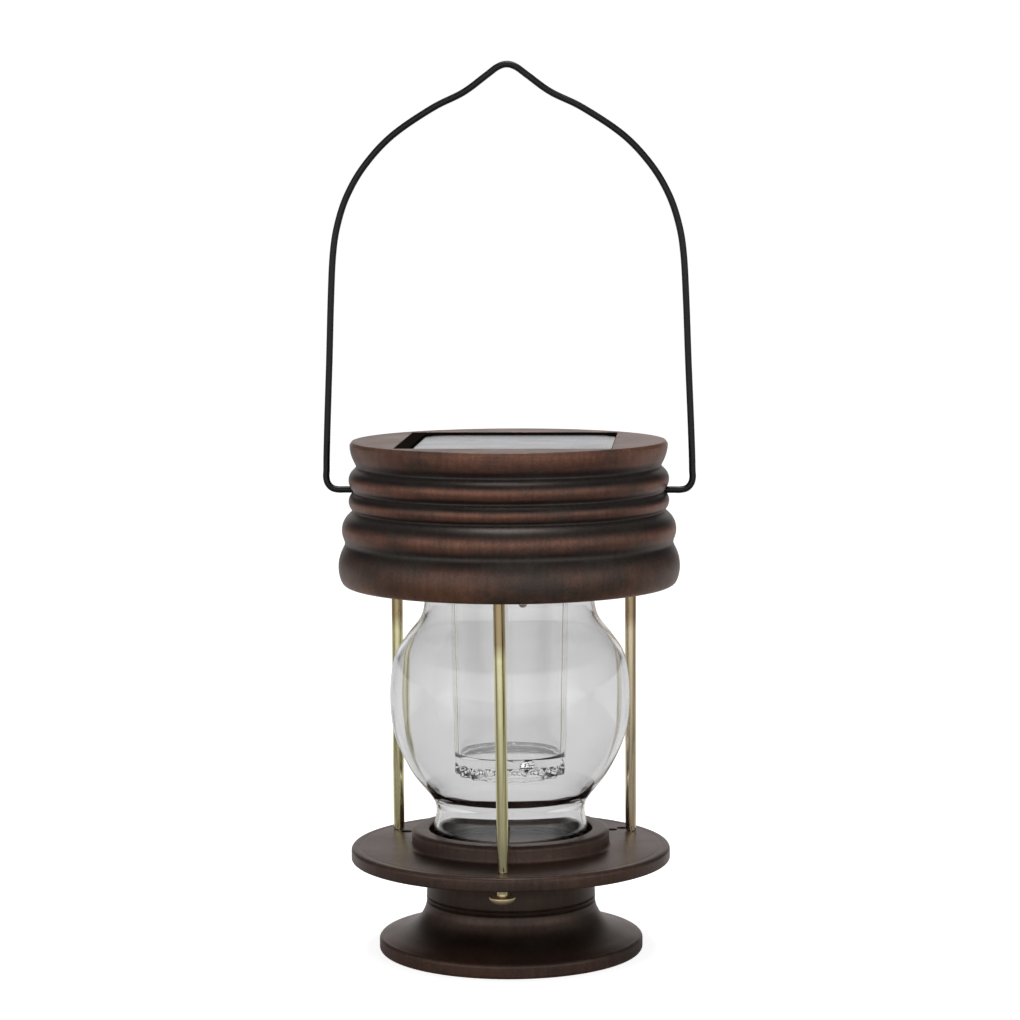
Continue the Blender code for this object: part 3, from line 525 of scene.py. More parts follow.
# Each groove's radius and height above the cap's foot, from the top down, and the beads between them.
GROOVES = ((0.04840, 0.0379), (0.04945, 0.0302), (0.04975, 0.0239), (0.0522, 0.0136), (0.0539, 0.0013))
BEAD_RISES = (0.00245, 0.00180, 0.0026, 0.0017)
CAP_FOOT_RADIUS = 0.0514
CAP_BORE = 0.0485
RECESS_HALF = 0.034
RECESS_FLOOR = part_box("panel_gasket")[0].z - GAP
LEAD_HOLE = 0.0025
BAIL_HOLE = 0.00145
CAP_PATINA = (0.034, 0.030, 0.026)


def cap_colour_and_light_bands():
    """Colour stops up the cap: dark antique patina in the grooves, lightened to grey at each groove's bottom
    as a painted highlight; near-black painted shade on each bead's downward flank; slate patina with painted
    shade on its upward flank; and one copper paint painted lighter as copper on the crests and shaded to
    brown lower down.
    """
    # The groove tone is patina plus a painted highlight, the slate tone is patina plus painted shade, shade
    # is painted shade, and copper and brown are one paint lit and shaded as painted light.
    groove = (0.036, 0.031, 0.029)
    slate_patina_and_shade = (0.016, 0.0115, 0.0105)
    shade = (0.018, 0.0105, 0.0095)
    copper = (0.180, 0.076, 0.047)
    brown = (0.130, 0.057, 0.036)
    total = CAP_HIGH.z - CAP_LOW.z
    heights = [height / total for _, height in GROOVES[:4]]
    stops = [(0.0, (0.165, 0.075, 0.044)), (0.08, (0.135, 0.062, 0.037)), (0.19, (0.095, 0.048, 0.034))]
    stops += [(heights[3] - 0.025, slate_patina_and_shade), (heights[3] + 0.005, groove)]
    # Each bead from its lower groove up: painted shade, brown then copper as painted light towards the
    # crest, slate patina with painted shade, then the groove's painted highlight.
    for low, high in ((heights[3], heights[2]), (heights[2], heights[1]), (heights[1], heights[0])):
        span = high - low
        stops += [(low + 0.09 * span, shade), (low + 0.27 * span, brown), (low + 0.46 * span, copper)]
        stops += [(low + 0.74 * span, slate_patina_and_shade), (high - 0.015, groove)]
    stops += [(heights[0] + 0.03, shade), (0.89, brown), (0.94, copper), (0.985, copper)]
    stops.append((1.0, (0.150, 0.088, 0.070)))
    return stops


def cap_outline():
    """Fine outline of the cap: top face, rim, beads, lip, and the bore up to the roof."""
    base, top = CAP_LOW.z, CAP_HIGH.z
    shoulder = 0.0509
    grooves = [(radius, base + height) for radius, height in GROOVES]
    outside = bulge((shoulder, top - 0.0017), grooves[0], 0.00055, 16)
    for start, end, rise in zip(grooves, grooves[1:], BEAD_RISES):
        outside += bulge(start, end, rise, 26)
    outside += bulge(grooves[-1], (CAP_FOOT_RADIUS, base), 0.0006, 8)
    outside = relaxed(outside, 10)
    rim = arc((RIM_RADIUS + 0.0003, top - 0.00045), 0.00045, 90, 20, 6) + [(shoulder, top - 0.0011)]
    outside = rim + outside
    face = [(0.0, top), (RIM_RADIUS - 0.0004, top)]
    inside = [(CAP_BORE + 0.0004, base), (CAP_BORE, base + 0.0004), (CAP_BORE, base + 0.0187)]
    inside += [(0.0463, base + 0.0217), (0.0463, base + 0.0381), (0.0443, base + 0.0401)]
    inside.append((0.0, base + 0.0401))
    return face + outside + inside


def recess_shape():
    """Square cutter whose top flares a little, to ease the recess's edge."""
    shape = bmesh.new()
    flare = 0.00025
    rings = []
    top = CAP_HIGH.z
    levels = ((RECESS_FLOOR, 0.0), (top - flare, 0.0), (top - flare * 0.3, flare * 0.3),
              (top + flare, flare * 1.6))
    for height, spread in levels:
        half = RECESS_HALF + spread
        corners = [(-half, -half), (half, -half), (half, half), (-half, half)]
        rings.append([shape.verts.new((x, y, height)) for x, y in corners])
    join_rings(shape, rings)
    return shape


def make_cap(paint):
    """The cap shell with its recess, lead hole and bail holes."""
    cap = make_object("cap", turned_shape(cap_outline(), 192), paint, 40)
    cut(cap, recess_shape(), 30)
    cut(cap, cylinders_shape([(0, 0)], LEAD_HOLE, CAP_LOW.z + 0.038, RECESS_FLOOR + PAST), 30)
    hole = cylinders_shape([(0, 0)], BAIL_HOLE, -0.06, 0.06)
    bmesh.ops.rotate(hole, matrix=Matrix.Rotation(math.radians(90), 3, "Y"), verts=hole.verts)
    bmesh.ops.translate(hole, vec=(0, 0, PIVOT_HEIGHT), verts=hole.verts)
    cut(cap, hole, 30)
    settle(cap, ["cap_shell"])


def round_corners(shape, radius, segments):
    """Rounds the upright edges of a box."""
    upright = [edge for edge in shape.edges if abs(edge.verts[0].co.z - edge.verts[1].co.z) > GAP]
    bmesh.ops.bevel(shape, geom=upright, offset=radius, segments=segments, profile=0.5, affect="EDGES")


def make_panel(resin, foam):
    """Square panel with round corners, in foam that fills the rest of the recess and is lower in front."""
    sunk, corner, seat_corner = 0.0003, 0.0095, 0.0092
    front_strip, opening = 0.013, 0.023
    low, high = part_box("solar_panel")
    high.z -= sunk
    shape = box_shape(low, high)
    round_corners(shape, corner, 16)
    rim = [edge for edge in shape.edges if all(vert.co.z > high.z - GAP for vert in edge.verts)]
    bmesh.ops.bevel(shape, geom=rim, offset=0.00022, segments=3, profile=0.6, affect="EDGES")
    settle(make_object("panel", shape, resin, 50), ["solar_panel"])
    foam_low, foam_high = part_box("panel_gasket")
    foam_high.z = CAP_HIGH.z - GAP / 3
    gasket = make_object("panel_foam", box_shape(foam_low, foam_high, 0.00012), foam)
    seat_low = Vector((low.x - GAP, low.y - GAP, low.z - GAP))
    seat_high = Vector((high.x + GAP, high.y + GAP, CAP_HIGH.z + GAP))
    seat = box_shape(seat_low, seat_high)
    round_corners(seat, seat_corner, 14)
    cut(gasket, seat)
    front_low = (low.x - GAP, -RECESS_HALF - GAP, high.z)
    cut(gasket, box_shape(front_low, (RECESS_HALF + GAP, low.y + front_strip, CAP_HIGH.z + GAP)))
    cut(gasket, box_shape((-opening, -opening, foam_low.z - GAP), (opening, opening, foam_high.z + GAP)))
    settle(gasket, ["panel_gasket"])


# ---- Bail ----
WIRE_RADIUS = 0.00107


def bail_path():
    """Wire centre from hole to hole: level ends, small corners, long legs, round shoulders and a peak."""
    end = [(0.0447, 0.0), (0.0500, 0.0), (0.0530, 0.0), (0.0549, 0.0), (0.0569, 0.0005), (0.0583, 0.0020),
           (0.0588, 0.0040), (0.0587, 0.0062), (0.0586, 0.0110)]
    leg = [(0.0582, 0.0223), (0.0574, 0.0415), (0.0567, 0.0607), (0.0559, 0.0750)]
    shoulder = [(0.0544, 0.0844), (0.0512, 0.0939), (0.0456, 0.1033), (0.0368, 0.1127), (0.0240, 0.1213)]
    peak = [(0.0139, 0.1263), (0.0067, 0.1315), (0.0030, 0.1342)]
    half = end + leg + shoulder + peak
    knots = [(-x, z) for x, z in half] + [(0.0, 0.1351)] + half[::-1]
    return [(point.x, 0.0, PIVOT_HEIGHT + point.y) for point in smooth_path(knots, 9)]


def make_bail(paint):
    """The bent wire bail."""
    bail = make_object("bail_wire", swept_shape(bail_path(), WIRE_RADIUS, 24), paint)
    settle(bail, ["bail_handle"], "bail")


# ---- Cage ----
ROD_RADIUS, ROD_WALL = 0.00185, 0.00042
ROD_TAPER = 0.0095
ROD_SIDES = 40
TIGHT_SEAM, SPLIT_END, OPEN_SEAM = 0.00002, 0.00050, 0.00013
SEAM_LIP = 0.0001


def rod_shape(centre, low, high, seam_angle, twist, squeeze, lean):
    """A strip rolled into a tube: lower end drawn in and split, seam tight above it, open near the top."""
    shape = bmesh.new()
    length = high - low
    levels = [low, low + 0.0003, low + 0.0007, low + 0.0011, low + 0.0020]
    levels += [low + ROD_TAPER * share for share in (0.4, 0.6, 0.8, 1.0)]
    levels += [low + length * step / 20 for step in range(3, 20)] + [high - 0.0003, high]
    sections = []
    for level in levels:
        draw = 1.0 - squeeze * (1.0 - smoothstep(low, low + ROD_TAPER, level))
        split = TIGHT_SEAM + SPLIT_END * (1.0 - smoothstep(low + 0.0004, low + 0.0020, level))
        split += OPEN_SEAM * smoothstep(low + 0.4 * length, low + 0.6 * length, level)
        turn = seam_angle + twist * smoothstep(low + ROD_TAPER, low + 0.5 * length, level)
        offset = lean * (0.35 - (level - low) / length)
        section = []
        for radius, roll in ((ROD_RADIUS, 1), (ROD_RADIUS - ROD_WALL, -1)):
            half = split / radius
            for step in range(ROD_SIDES + 1):
                share = step / ROD_SIDES
                share = share if roll == 1 else 1 - share
                angle = half + (math.tau - 2 * half) * share
                near_seam = math.exp(-share * 22) + math.exp(-(1 - share) * 22)
                dip = SEAM_LIP * near_seam if roll == 1 else 0.0
                place = polar((radius - dip) * draw, math.degrees(angle) + turn, level)
                place.x += offset
                section.append(shape.verts.new(centre + place))
        sections.append(section)
    join_rings(shape, sections)
    return shape


def middle_of(node):
    """The middle of a CAD node in plan."""
    low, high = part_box(node)
    return Vector(((low.x + high.x) / 2, (low.y + high.y) / 2, 0.0))


def screw_drive_shape(centre, level, depth, size):
    """A cross recess cutter, its mouth at a level."""
    shape = bmesh.new()
    arm = size / 2
    slot = size * 0.13
    quarter = [(arm, -slot), (arm, slot), (slot, slot)]
    corners = []
    for turn in range(4):
        spin = Matrix.Rotation(math.radians(90 * turn), 2)
        corners += [spin @ Vector(point) for point in quarter]
    base = [shape.verts.new((centre.x + x, centre.y + y, level - depth)) for x, y in corners]
    face = shape.faces.new(base)
    made = bmesh.ops.extrude_face_region(shape, geom=[face])["geom"]
    lifted = [item for item in made if isinstance(item, bmesh.types.BMVert)]
    bmesh.ops.translate(shape, vec=(0, 0, 2 * depth), verts=lifted)
    return shape


DOME_RISE = 0.0022


def make_rods(brass):
    """Three rods and the dome screws under them."""
    looks = (("front", -86, 30, 0.15, 0.00085), ("right", -90, 50, 0.05, 0.0), ("left", -90, -50, 0.05, 0.0))
    for side, seam, twist, squeeze, lean in looks:
        low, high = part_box("rod_" + side)
        centre = middle_of("rod_" + side)
        shape = rod_shape(centre, low.z, high.z, seam, twist, squeeze, lean)
        settle(make_object("rod_tube_" + side, shape, brass, 50), ["rod_" + side])
        low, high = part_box("rod_bottom_screw_" + side)
        head = (high.x - low.x) / 2
        collar, seat = 0.0016, PLATE_LOW.z - GAP
        outline = [(0.0, low.z)]
        for step in range(1, 13):
            angle = math.radians(90 * step / 12)
            outline.append((head * 0.999 * math.sin(angle), low.z + DOME_RISE * (1 - math.cos(angle))))
        outline += [(head * 0.985, low.z + 0.00235), (head * 0.95, low.z + 0.00245)]
        outline += [(0.0019, low.z + 0.00255), (collar, low.z + 0.0028), (collar, seat)]
        outline += [(SHANK, seat), (SHANK, high.z), (0.0, high.z)]
        screw = make_object("dome_screw_" + side, turned_shape(outline, 48, centre), brass, 40)
        cut(screw, screw_drive_shape(centre, low.z, 0.0008, 0.0034), 40)
        settle(screw, ["rod_bottom_screw_" + side])


# ---- Base ----
PLATE_LOW, PLATE_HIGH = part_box("gallery_plate")
PLATE_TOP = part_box("rod_front")[0].z - GAP
PLATE_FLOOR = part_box("globe_foot_gasket")[0].z - GAP
COLLAR_RADIUS = 0.03195
COLLAR_BORE = 0.0264
STEP_RADIUS = 0.0486
DRAIN_HOLE = 0.00175
BASE_PATINA = (0.036, 0.026, 0.021)


def base_colour_and_light_bands():
    """Colour stops up the base: copper at the foot's rounded edge as a painted highlight, painted shade in
    the flare's hollow under the plate, a painted copper highlight high on the flare, dark at the neck's
    grooves, warm above.
    """
    edge = (0.082, 0.045, 0.033)
    # Painted light: the lighter copper at 0.0 and 0.36 are highlights, and the near black at 0.22 is the
    # plate's shade on the flare.
    return [(0.0, (0.108, 0.054, 0.038)), (0.12, (0.080, 0.042, 0.030)), (0.22, (0.018, 0.012, 0.009)),
            (0.36, (0.064, 0.034, 0.022)), (0.41, (0.028, 0.015, 0.009)), (0.60, (0.040, 0.022, 0.013)),
            (0.78, edge), (1.0, edge)]


def make_plate(paint):
    """The plate: floor, collar with eased lips, a fine step near the edge, a rounded rim and its holes."""
    top, edge = PLATE_HIGH.z, PLATE_HIGH.x
    outline = [(0.0, PLATE_FLOOR), (COLLAR_BORE - 0.0006, PLATE_FLOOR)]
    outline += arc((COLLAR_BORE - 0.0004, PLATE_FLOOR + 0.0004), 0.0004, -90, 0, 3)[1:]
    outline += arc((COLLAR_BORE + 0.0006, top - 0.0006), 0.0006, 180, 90, 6)
    outline += arc((COLLAR_RADIUS - 0.0015, top - 0.0015), 0.0015, 90, 0, 10)
    outline += arc((COLLAR_RADIUS + 0.0010, PLATE_TOP + 0.0010), 0.0010, 180, 270, 6)
    step = ((-0.0008, 0.0), (-0.0004, 0.00003), (0.0, 0.00012), (0.0004, 0.00006), (0.0009, 0.00003))
    outline += [(STEP_RADIUS + reach, PLATE_TOP - drop) for reach, drop in step]
    outline += arc((edge - 0.0013, PLATE_TOP - 0.00133), 0.0013, 90, 0, 10)
    outline += arc((edge - 0.0007, PLATE_LOW.z + 0.0007), 0.0007, 0, -90, 6)
    outline += [(0.0, PLATE_LOW.z)]
    plate = make_object("base_plate", turned_shape(outline, 192), paint, 40)
    over, under = PLATE_TOP + PAST, PLATE_LOW.z - PAST
    drains = [polar(0.0398, 36), polar(0.0440, 36.5), polar(0.0398, 153)]
    cut(plate, cylinders_shape(drains, DRAIN_HOLE, under, over), 30)
    cut(plate, cylinders_shape([middle_of("rod_" + side) for side in SIDES], SHANK_HOLE, under, over), 30)
    foot_screws = [middle_of("foot_screw_" + side) for side in SIDES]
    cut(plate, cylinders_shape(foot_screws, SHANK_HOLE, under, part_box("foot_screw_front")[1].z + GAP), 30)
    settle(plate, ["gallery_plate"])


def foot_outline():
    """Neck with two fine grooves, a hollow flare, a thick rounded edge and the hollow underside."""
    low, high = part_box("foot_shell")
    neck, hollow = 0.0273, 0.0245
    edge = high.x
    outline = [(0.0, high.z), (0.0262, high.z)] + arc((neck - 0.0006, high.z - 0.0006), 0.0006, 90, 0, 5)
    outline += [(0.02715, 0.0265), (0.0270, 0.0240), (0.02715, 0.0210), (neck, 0.0189)]
    for groove in (0.0179, 0.0164):
        outline += [(neck, groove + 0.0004), (neck - 0.00018, groove + 0.0002), (neck - 0.00032, groove)]
        outline += [(neck - 0.00018, groove - 0.0002), (neck + 0.00005, groove - 0.0004)]
    flare = [(0.02742, 0.0152), (0.0281, 0.0131), (0.0297, 0.0104), (0.0324, 0.0082), (0.0360, 0.0066)]
    outline += [tuple(point) for point in smooth_path(flare + [(0.0398, 0.0055), (0.0415, 0.00495)], 6)]
    outline += arc((edge - 0.0014, 0.0036), 0.0014, 74, 0, 9)
    outline += arc((edge - 0.0012, 0.0012), 0.0012, 0, -90, 8)
    outline += [(0.0390, low.z), (0.0387, 0.0003)]
    inner = [(0.0386, 0.0026), (0.0345, 0.0043), (0.0300, 0.0066), (0.0262, 0.0102), (0.0246, 0.0140),
             (hollow, 0.0180)]
    outline += [tuple(point) for point in smooth_path(inner, 5)]
    outline += [(hollow, 0.0262)] + arc((hollow - 0.0010, 0.0262), 0.0010, 0, 90, 4)[1:] + [(0.0, 0.0272)]
    return outline


def make_foot(paint, steel):
    """The foot, its screw holes and the screws inside it."""
    foot = make_object("foot", turned_shape(foot_outline(), 192), paint, 40)
    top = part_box("foot_shell")[1].z
    foot_screws = [middle_of("foot_screw_" + side) for side in SIDES]
    cut(foot, cylinders_shape(foot_screws, SHANK_HOLE, top - 0.004, top + PAST), 40)
    settle(foot, ["foot_shell"])
    for side in SIDES:
        make_screw("foot_screw_" + side, steel, points_up=True)


def make_screw(node, steel, points_up):
    """A dome-headed cross-recess screw in place of a CAD screw."""
    low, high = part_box(node)
    centre = middle_of(node)
    head = (high.x - low.x) / 2
    rise = head * 0.66
    way = 1 if points_up else -1
    tip = high.z if points_up else low.z
    dome = low.z if points_up else high.z
    outline = []
    for step in range(9):
        angle = math.radians(90 * step / 8)
        outline.append((head * math.sin(angle) * 0.999, dome + way * rise * (1 - math.cos(angle))))
    outline += [(head * 0.97, dome + way * (rise + 0.00008)), (SHANK, dome + way * (rise + 0.0001))]
    outline += [(SHANK, tip - way * 0.0006), (0.0003, tip), (0.0, tip)]
    screw = make_object(node + "_fine", turned_shape(outline, 32, centre), steel, 40)
    cut(screw, screw_drive_shape(centre, dome, 0.0007, head * 0.95), 40)
    settle(screw, [node])


# ---- Globe and light tube ----
GLASS_WALL = 0.0015
THROAT_HEIGHT, THROAT_SPREAD, THROAT_EXTRA = 0.0498, 0.0021, 0.0006


def globe_outside():
    """Outer run of the globe, top to bottom."""
    low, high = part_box("glass_globe")
    knots = [(0.0272, high.z - 0.0008), (0.0273, 0.1137), (0.0287, 0.1085), (0.0330, 0.1028)]
    knots += [(0.0370, 0.0963), (0.0386, 0.0860), (0.0382, 0.0757), (0.0363, 0.0680), (0.0315, 0.0582)]
    knots += [(0.0252, 0.0500), (0.0240, 0.0455), (0.0249, 0.0405), (0.0252, low.z + 0.0008)]
    return [tuple(point) for point in smooth_path(knots, 10)]


def polished_rim(radius, height, way):
    """Three points over a cut edge of the glass, from outside in; way is 1 at the top and -1 below."""
    dip = height - way * 0.0003
    return [(radius - 0.0003, dip), (radius - GLASS_WALL / 2, height), (radius - 0.0012, dip)]


def make_globe(glass):
    """Blown globe with polished rims and slightly uneven walls, thicker at the throat."""
    low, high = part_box("glass_globe")
    outside = globe_outside()
    inside = []
    for outer, plain in zip(outside, shifted_inward(outside, GLASS_WALL)):
        throat = math.exp(-((outer[1] - THROAT_HEIGHT) / THROAT_SPREAD) ** 2)
        inside.append((plain[0] - THROAT_EXTRA * throat, plain[1]))
    top_rim = polished_rim(outside[0][0], high.z, 1)
    low_rim = polished_rim(outside[-1][0], low.z, -1)
    shape = turned_shape(outside + low_rim + inside[::-1] + top_rim[::-1], 160)
    for vert in shape.verts:
        swell = noise.noise(vert.co * 38.0) * 0.00013
        reach = Vector((vert.co.x, vert.co.y)).length
        growth = 1 + swell * smoothstep(0.024, 0.034, reach) / max(reach, 0.01)
        vert.co.x *= growth
        vert.co.y *= growth
    settle(make_object("globe", shape, glass, 60), ["glass_globe"])


FLUTES = 18
FLUTE_DEPTH = 0.0014
FLUTE_SIDE, FLUTE_CROWN, FLUTE_EASE = 0.0024, 0.0016, 0.0009
TUBE_FLOOR = 0.0070


def make_light_tube(acrylic):
    """Clear tube hung by its flange, with a thick base cut into short upright flutes."""
    low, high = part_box("light_tube")
    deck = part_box("cap_bottom_cover")[1].z + GAP
    bottom = low.z
    top_radius, low_radius, wall = 0.0190, 0.01795, 0.0017
    slope = (top_radius - low_radius) / (deck - bottom)
    outline = [(0.0, bottom + 0.0006), (0.0120, bottom + 0.0005), (0.0148, bottom)]
    ease, base = 0.0008, 0.0060
    outline += arc((low_radius - ease, bottom + ease), ease, -90, 0, 5)
    heights = [ease + base * step / 16 for step in range(1, 17)]
    heights += [ease + base + (deck - bottom - ease - base) * step / 8 for step in range(1, 9)]
    outline += [(low_radius + slope * height, bottom + height) for height in heights]
    outline += [(high.x, deck), (high.x, high.z), (top_radius - wall, high.z)]
    floor_edge = low_radius - wall
    outline += [(floor_edge + slope * 0.0010, bottom + 0.0080), (floor_edge, bottom + 0.0074)]
    outline += arc((floor_edge - 0.0002, bottom + TUBE_FLOOR + 0.0002), 0.0002, 0, -90, 4)
    for radius in (floor_edge - 0.0004, floor_edge - 0.0010, 0.0):
        outline.append((radius, bottom + TUBE_FLOOR))
    shape = turned_shape(outline, FLUTES * 16)
    for vert in shape.verts:
        reach = Vector((vert.co.x, vert.co.y)).length
        height = vert.co.z - bottom
        if reach < low_radius - 0.0009 or height > ease + base + 0.0001:
            continue
        angle = math.atan2(vert.co.y, vert.co.x)
        scallop = abs(math.cos(angle * FLUTES / 2))
        ceiling = FLUTE_SIDE + FLUTE_CROWN * (1 - (1 - scallop) ** 2)
        depth = FLUTE_DEPTH * scallop * (1.0 - smoothstep(ceiling - FLUTE_EASE, ceiling, height))
        vert.co.x *= (reach - depth) / reach
        vert.co.y *= (reach - depth) / reach
    settle(make_object("light_tube_fine", shape, acrylic, 28), ["light_tube"])


def make_gaskets(foam):
    """Rings above and below the globe."""
    ease = 0.0002
    for node, inner in (("globe_foot_gasket", 0.0220), ("globe_top_gasket", 0.0249)):
        low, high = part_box(node)
        outline = [(inner, high.z - ease), (inner + ease, high.z), (high.x - ease, high.z)]
        outline += [(high.x, high.z - ease), (high.x, low.z + ease), (high.x - ease, low.z)]
        outline += [(inner + ease, low.z), (inner, low.z + ease)]
        settle(make_object(node + "_fine", turned_shape(outline, 96), foam), [node])


# ---- Under the cap ----
def make_cover(paint, steel):
    """The cap's bottom cover, and the screws in it and above it."""
    low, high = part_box("cap_bottom_cover")
    inner, ease, button_hole = 0.0194, 0.0003, 0.0027
    outline = [(inner, high.z), (high.x, high.z), (high.x, low.z + ease), (high.x - ease, low.z)]
    outline += [(0.0462, low.z), (0.0458, low.z + ease), (0.0300, low.z + ease), (0.0296, low.z)]
    outline += [(inner + ease, low.z), (inner, low.z + ease)]
    cover = make_object("cover_disc", turned_shape(outline, 160), paint, 40)
    places = [middle_of("rod_" + side) for side in SIDES]
    places += [middle_of("cover_screw_" + side) for side in COVER_SCREWS]
    over, under = high.z + PAST, low.z - PAST
    cut(cover, cylinders_shape(places, SHANK_HOLE, under, over), 30)
    cut(cover, cylinders_shape([middle_of("switch_button")], button_hole, under, over), 30)
    settle(cover, ["cap_bottom_cover"])
    for side in COVER_SCREWS:
        make_screw("cover_screw_" + side, steel, points_up=True)
    for side in SIDES:
        make_screw("rod_top_screw_" + side, steel, points_up=False)
    for side in ("left", "right"):
        make_screw("holder_screw_" + side, steel, points_up=False)
        make_screw("board_screw_" + side, steel, points_up=False)


def make_button(white):
    """The switch's button, its face dished for a fingertip."""
    low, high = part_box("switch_button")
    centre = middle_of("switch_button")
    stem = 0.0024
    flange = (high.x - low.x) / 2
    outline = [(0.0, low.z + 0.0003), (0.0010, low.z + 0.00024), (0.0017, low.z + 0.00005)]
    outline += arc((stem - 0.0004, low.z + 0.0004), 0.0004, -90, 0, 5)
    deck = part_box("cap_bottom_cover")[1].z + 2 * GAP
    outline += [(stem, deck), (flange, deck), (flange, high.z), (0.0, high.z)]
    button = make_object("button", turned_shape(outline, 48, centre), white)
    settle(button, ["switch_button"], "button")


def make_led(epoxy, steel):
    """Domed LED with a rim, and its two legs."""
    low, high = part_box("led")
    centre = middle_of("led")
    radius, leg_radius = 0.0015, 0.00028
    rim = low.z + 0.0046
    outline = [(0.0, low.z)] + arc((0.0, low.z + radius), radius, -90, 0, 8)[1:]
    outline += [(radius, rim), (radius + 0.0004, rim + 0.0001), (radius + 0.0004, rim + 0.0009)]
    outline += [(radius + 0.0003, rim + 0.0010), (0.0, rim + 0.0010)]
    lamp = make_object("led_lens", turned_shape(outline, 32, centre), epoxy)
    settle(lamp, ["led"])
    for side, offset in (("a", -0.0009), ("b", 0.0009)):
        place = centre + Vector((0, offset, 0))
        shape = cylinders_shape([place], leg_radius, rim + 0.0011, high.z, 12)
        leg = make_object("led_leg_" + side, shape, steel)
        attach(leg, LANTERN)


def dress_inner_nodes(surfaces):
    """Better materials for the CAD nodes that stay as they are."""
    dressed = {
        "white_plastic": ["led_holder"],
        "board_green": ["circuit_board"],
        "black_plastic": ["driver_chip", "battery_cradle", "switch_body"],
        "copper_winding": ["inductor"],
        "battery_wrap": ["battery"],
        "steel": ["battery_contact", "battery_spring"],
        "red_lead": ["panel_lead_plus", "battery_lead_plus"],
        "black_lead": ["panel_lead_minus", "battery_lead_minus", "switch_lead_left", "switch_lead_right"],
    }
    for slot, nodes in dressed.items():
        for node in nodes:
            piece = frame["nodes"][node]
            piece.data.materials.clear()
            piece.data.materials.append(surfaces[slot])


# ---- Stage ----
CAMERA_DISTANCE = 0.9874
CAMERA_HEIGHT = 0.2433
CAMERA_AZIMUTH = 3.5
CAMERA_PITCH = 5.8
CAMERA_LENS = 109.2
CAMERA_ROLL = -0.3
CAMERA_SHIFT = 0.001
FLOOR_GLOW = 0.84
BACKDROP_GLOW = 0.50


def make_camera():
    """The photographer's place: a little above the cap, a little to the right, looking slightly down."""
    camera = bpy.data.objects.new("camera", bpy.data.cameras.new("camera"))
    bpy.context.scene.collection.objects.link(camera)
    camera.data.lens = CAMERA_LENS
    camera.data.sensor_width = 36.0
    camera.data.shift_x = CAMERA_SHIFT
    camera.data.clip_start = 0.05
    camera.data.clip_end = 50.0
    camera.location = polar(CAMERA_DISTANCE, CAMERA_AZIMUTH - 90, CAMERA_HEIGHT)
    aim = Matrix.Rotation(math.radians(CAMERA_AZIMUTH), 3, "Z")
    tilt = Matrix.Rotation(math.radians(90 - CAMERA_PITCH), 3, "X")
    roll = Matrix.Rotation(math.radians(CAMERA_ROLL), 3, "Z")
    camera.rotation_euler = (aim @ tilt @ roll).to_euler()
    bpy.context.scene.camera = camera


def make_floor():
    """A wide pale floor."""
    shape = bmesh.new()
    bmesh.ops.create_grid(shape, x_segments=8, y_segments=8, size=6.0)
    floor = make_object("floor", shape, floor_surface())


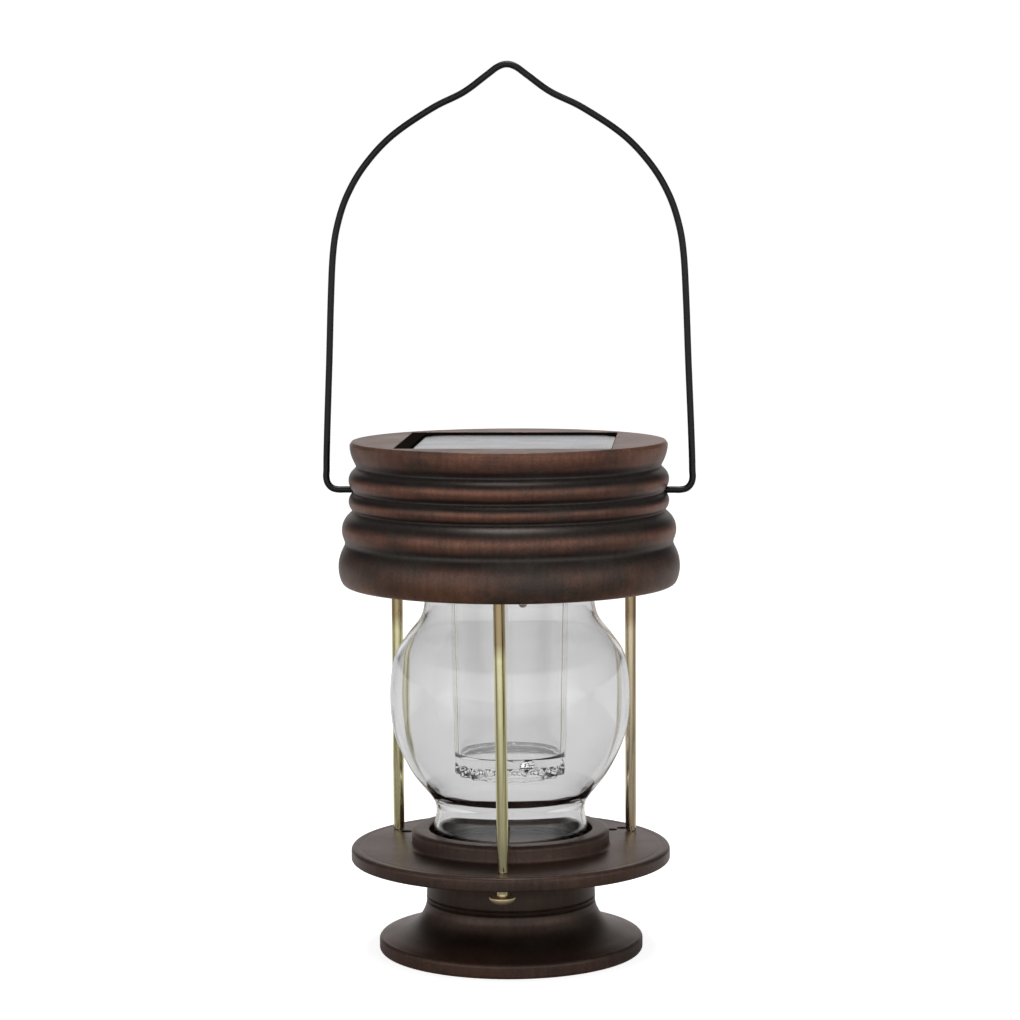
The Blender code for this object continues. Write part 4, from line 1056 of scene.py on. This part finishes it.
def make_world():
    """A studio: pale backdrop, dark flags beside it, brighter sides, a bright front and a dim ceiling."""
    world = bpy.data.worlds.new("studio")
    bpy.context.scene.world = world
    world.use_nodes = True
    tree = world.node_tree
    background = tree.nodes["Background"]
    coordinates = add_node(tree, "ShaderNodeTexCoord")
    turn = (0, 0, math.radians(-CAMERA_AZIMUTH))
    turned = add_node(tree, "ShaderNodeMapping",
                      {"Vector": coordinates.outputs["Generated"], "Rotation": turn})
    parts = axes(tree, turned.outputs["Vector"])
    spread = calculate(tree, "ABSOLUTE", calculate(tree, "ARCTAN2", parts["X"], parts["Y"]))
    share = remap(tree, spread, 0.0, math.pi, 0.0, 1.0)
    around = ramp(tree, share, [(0.0, 0.86), (0.11, 0.84), (0.16, 0.10), (0.32, 0.08), (0.43, 0.22),
                                (0.54, 0.68), (0.68, 1.40), (1.0, 1.50)])
    up = ramp(tree, parts["Z"], [(0.30, 0.0), (0.50, 1.0)])
    lit = blend_colours(tree, up, around, (0.13, 0.13, 0.13))
    view = add_node(tree, "ShaderNodeLightPath")
    seen = blend_colours(tree, view.outputs["Is Camera Ray"], lit, (1.0, 1.0, 1.0))
    tree.links.new(seen, background.inputs["Color"])
    background.inputs["Strength"].default_value = 1.0


def make_lights():
    """A small soft box overhead."""
    light = bpy.data.lights.new("top_box", "AREA")
    light.shape = "SQUARE"
    light.size = 0.5
    light.energy = 8.5
    lamp = bpy.data.objects.new("top_box", light)
    bpy.context.scene.collection.objects.link(lamp)
    lamp.location = (0.0, -0.05, 1.20)
    aim = Vector((0, 0, 0.12)) - lamp.location
    lamp.rotation_euler = aim.to_track_quat("-Z", "Y").to_euler()


def build():
    """Makes every piece, the stage and the camera."""
    bpy.context.scene.view_settings.view_transform = "Standard"
    make_camera()
    cap_paint_and_light = antique_paint("copper_paint", cap_colour_and_light_bands(), CAP_LOW.z, CAP_HIGH.z, CAP_PATINA, 0.06)
    base_paint = antique_paint("base_paint", base_colour_and_light_bands(), 0.0, PLATE_HIGH.z, BASE_PATINA, 0.15)
    brass = brass_surface()
    steel = steel_surface()
    foam = foam_surface()
    white = plastic_surface("white_plastic", (0.78, 0.78, 0.76), 0.4)
    make_cap(cap_paint_and_light)
    make_panel(panel_surface(*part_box("solar_panel")), foam)
    make_bail(wire_surface())
    make_rods(brass)
    make_plate(base_paint)
    make_foot(base_paint, steel)
    make_globe(glass_surface())
    make_light_tube(acrylic_surface())
    make_gaskets(foam)
    make_cover(cap_paint_and_light, steel)
    make_button(white)
    make_led(epoxy_surface(), steel)
    dress_inner_nodes({
        "white_plastic": white,
        "steel": steel,
        "board_green": plastic_surface("board_green", (0.02, 0.16, 0.06), 0.35, 500.0),
        "black_plastic": plastic_surface("black_plastic", (0.018, 0.018, 0.018), 0.45),
        "copper_winding": steel_surface("copper_winding", (0.62, 0.27, 0.12)),
        "battery_wrap": plastic_surface("battery_wrap", (0.03, 0.26, 0.10), 0.25, 300.0),
        "red_lead": plastic_surface("red_lead", (0.42, 0.02, 0.02), 0.4),
        "black_lead": plastic_surface("black_lead", (0.02, 0.02, 0.02), 0.4),
    })
    make_floor()
    make_world()
    make_lights()


build()
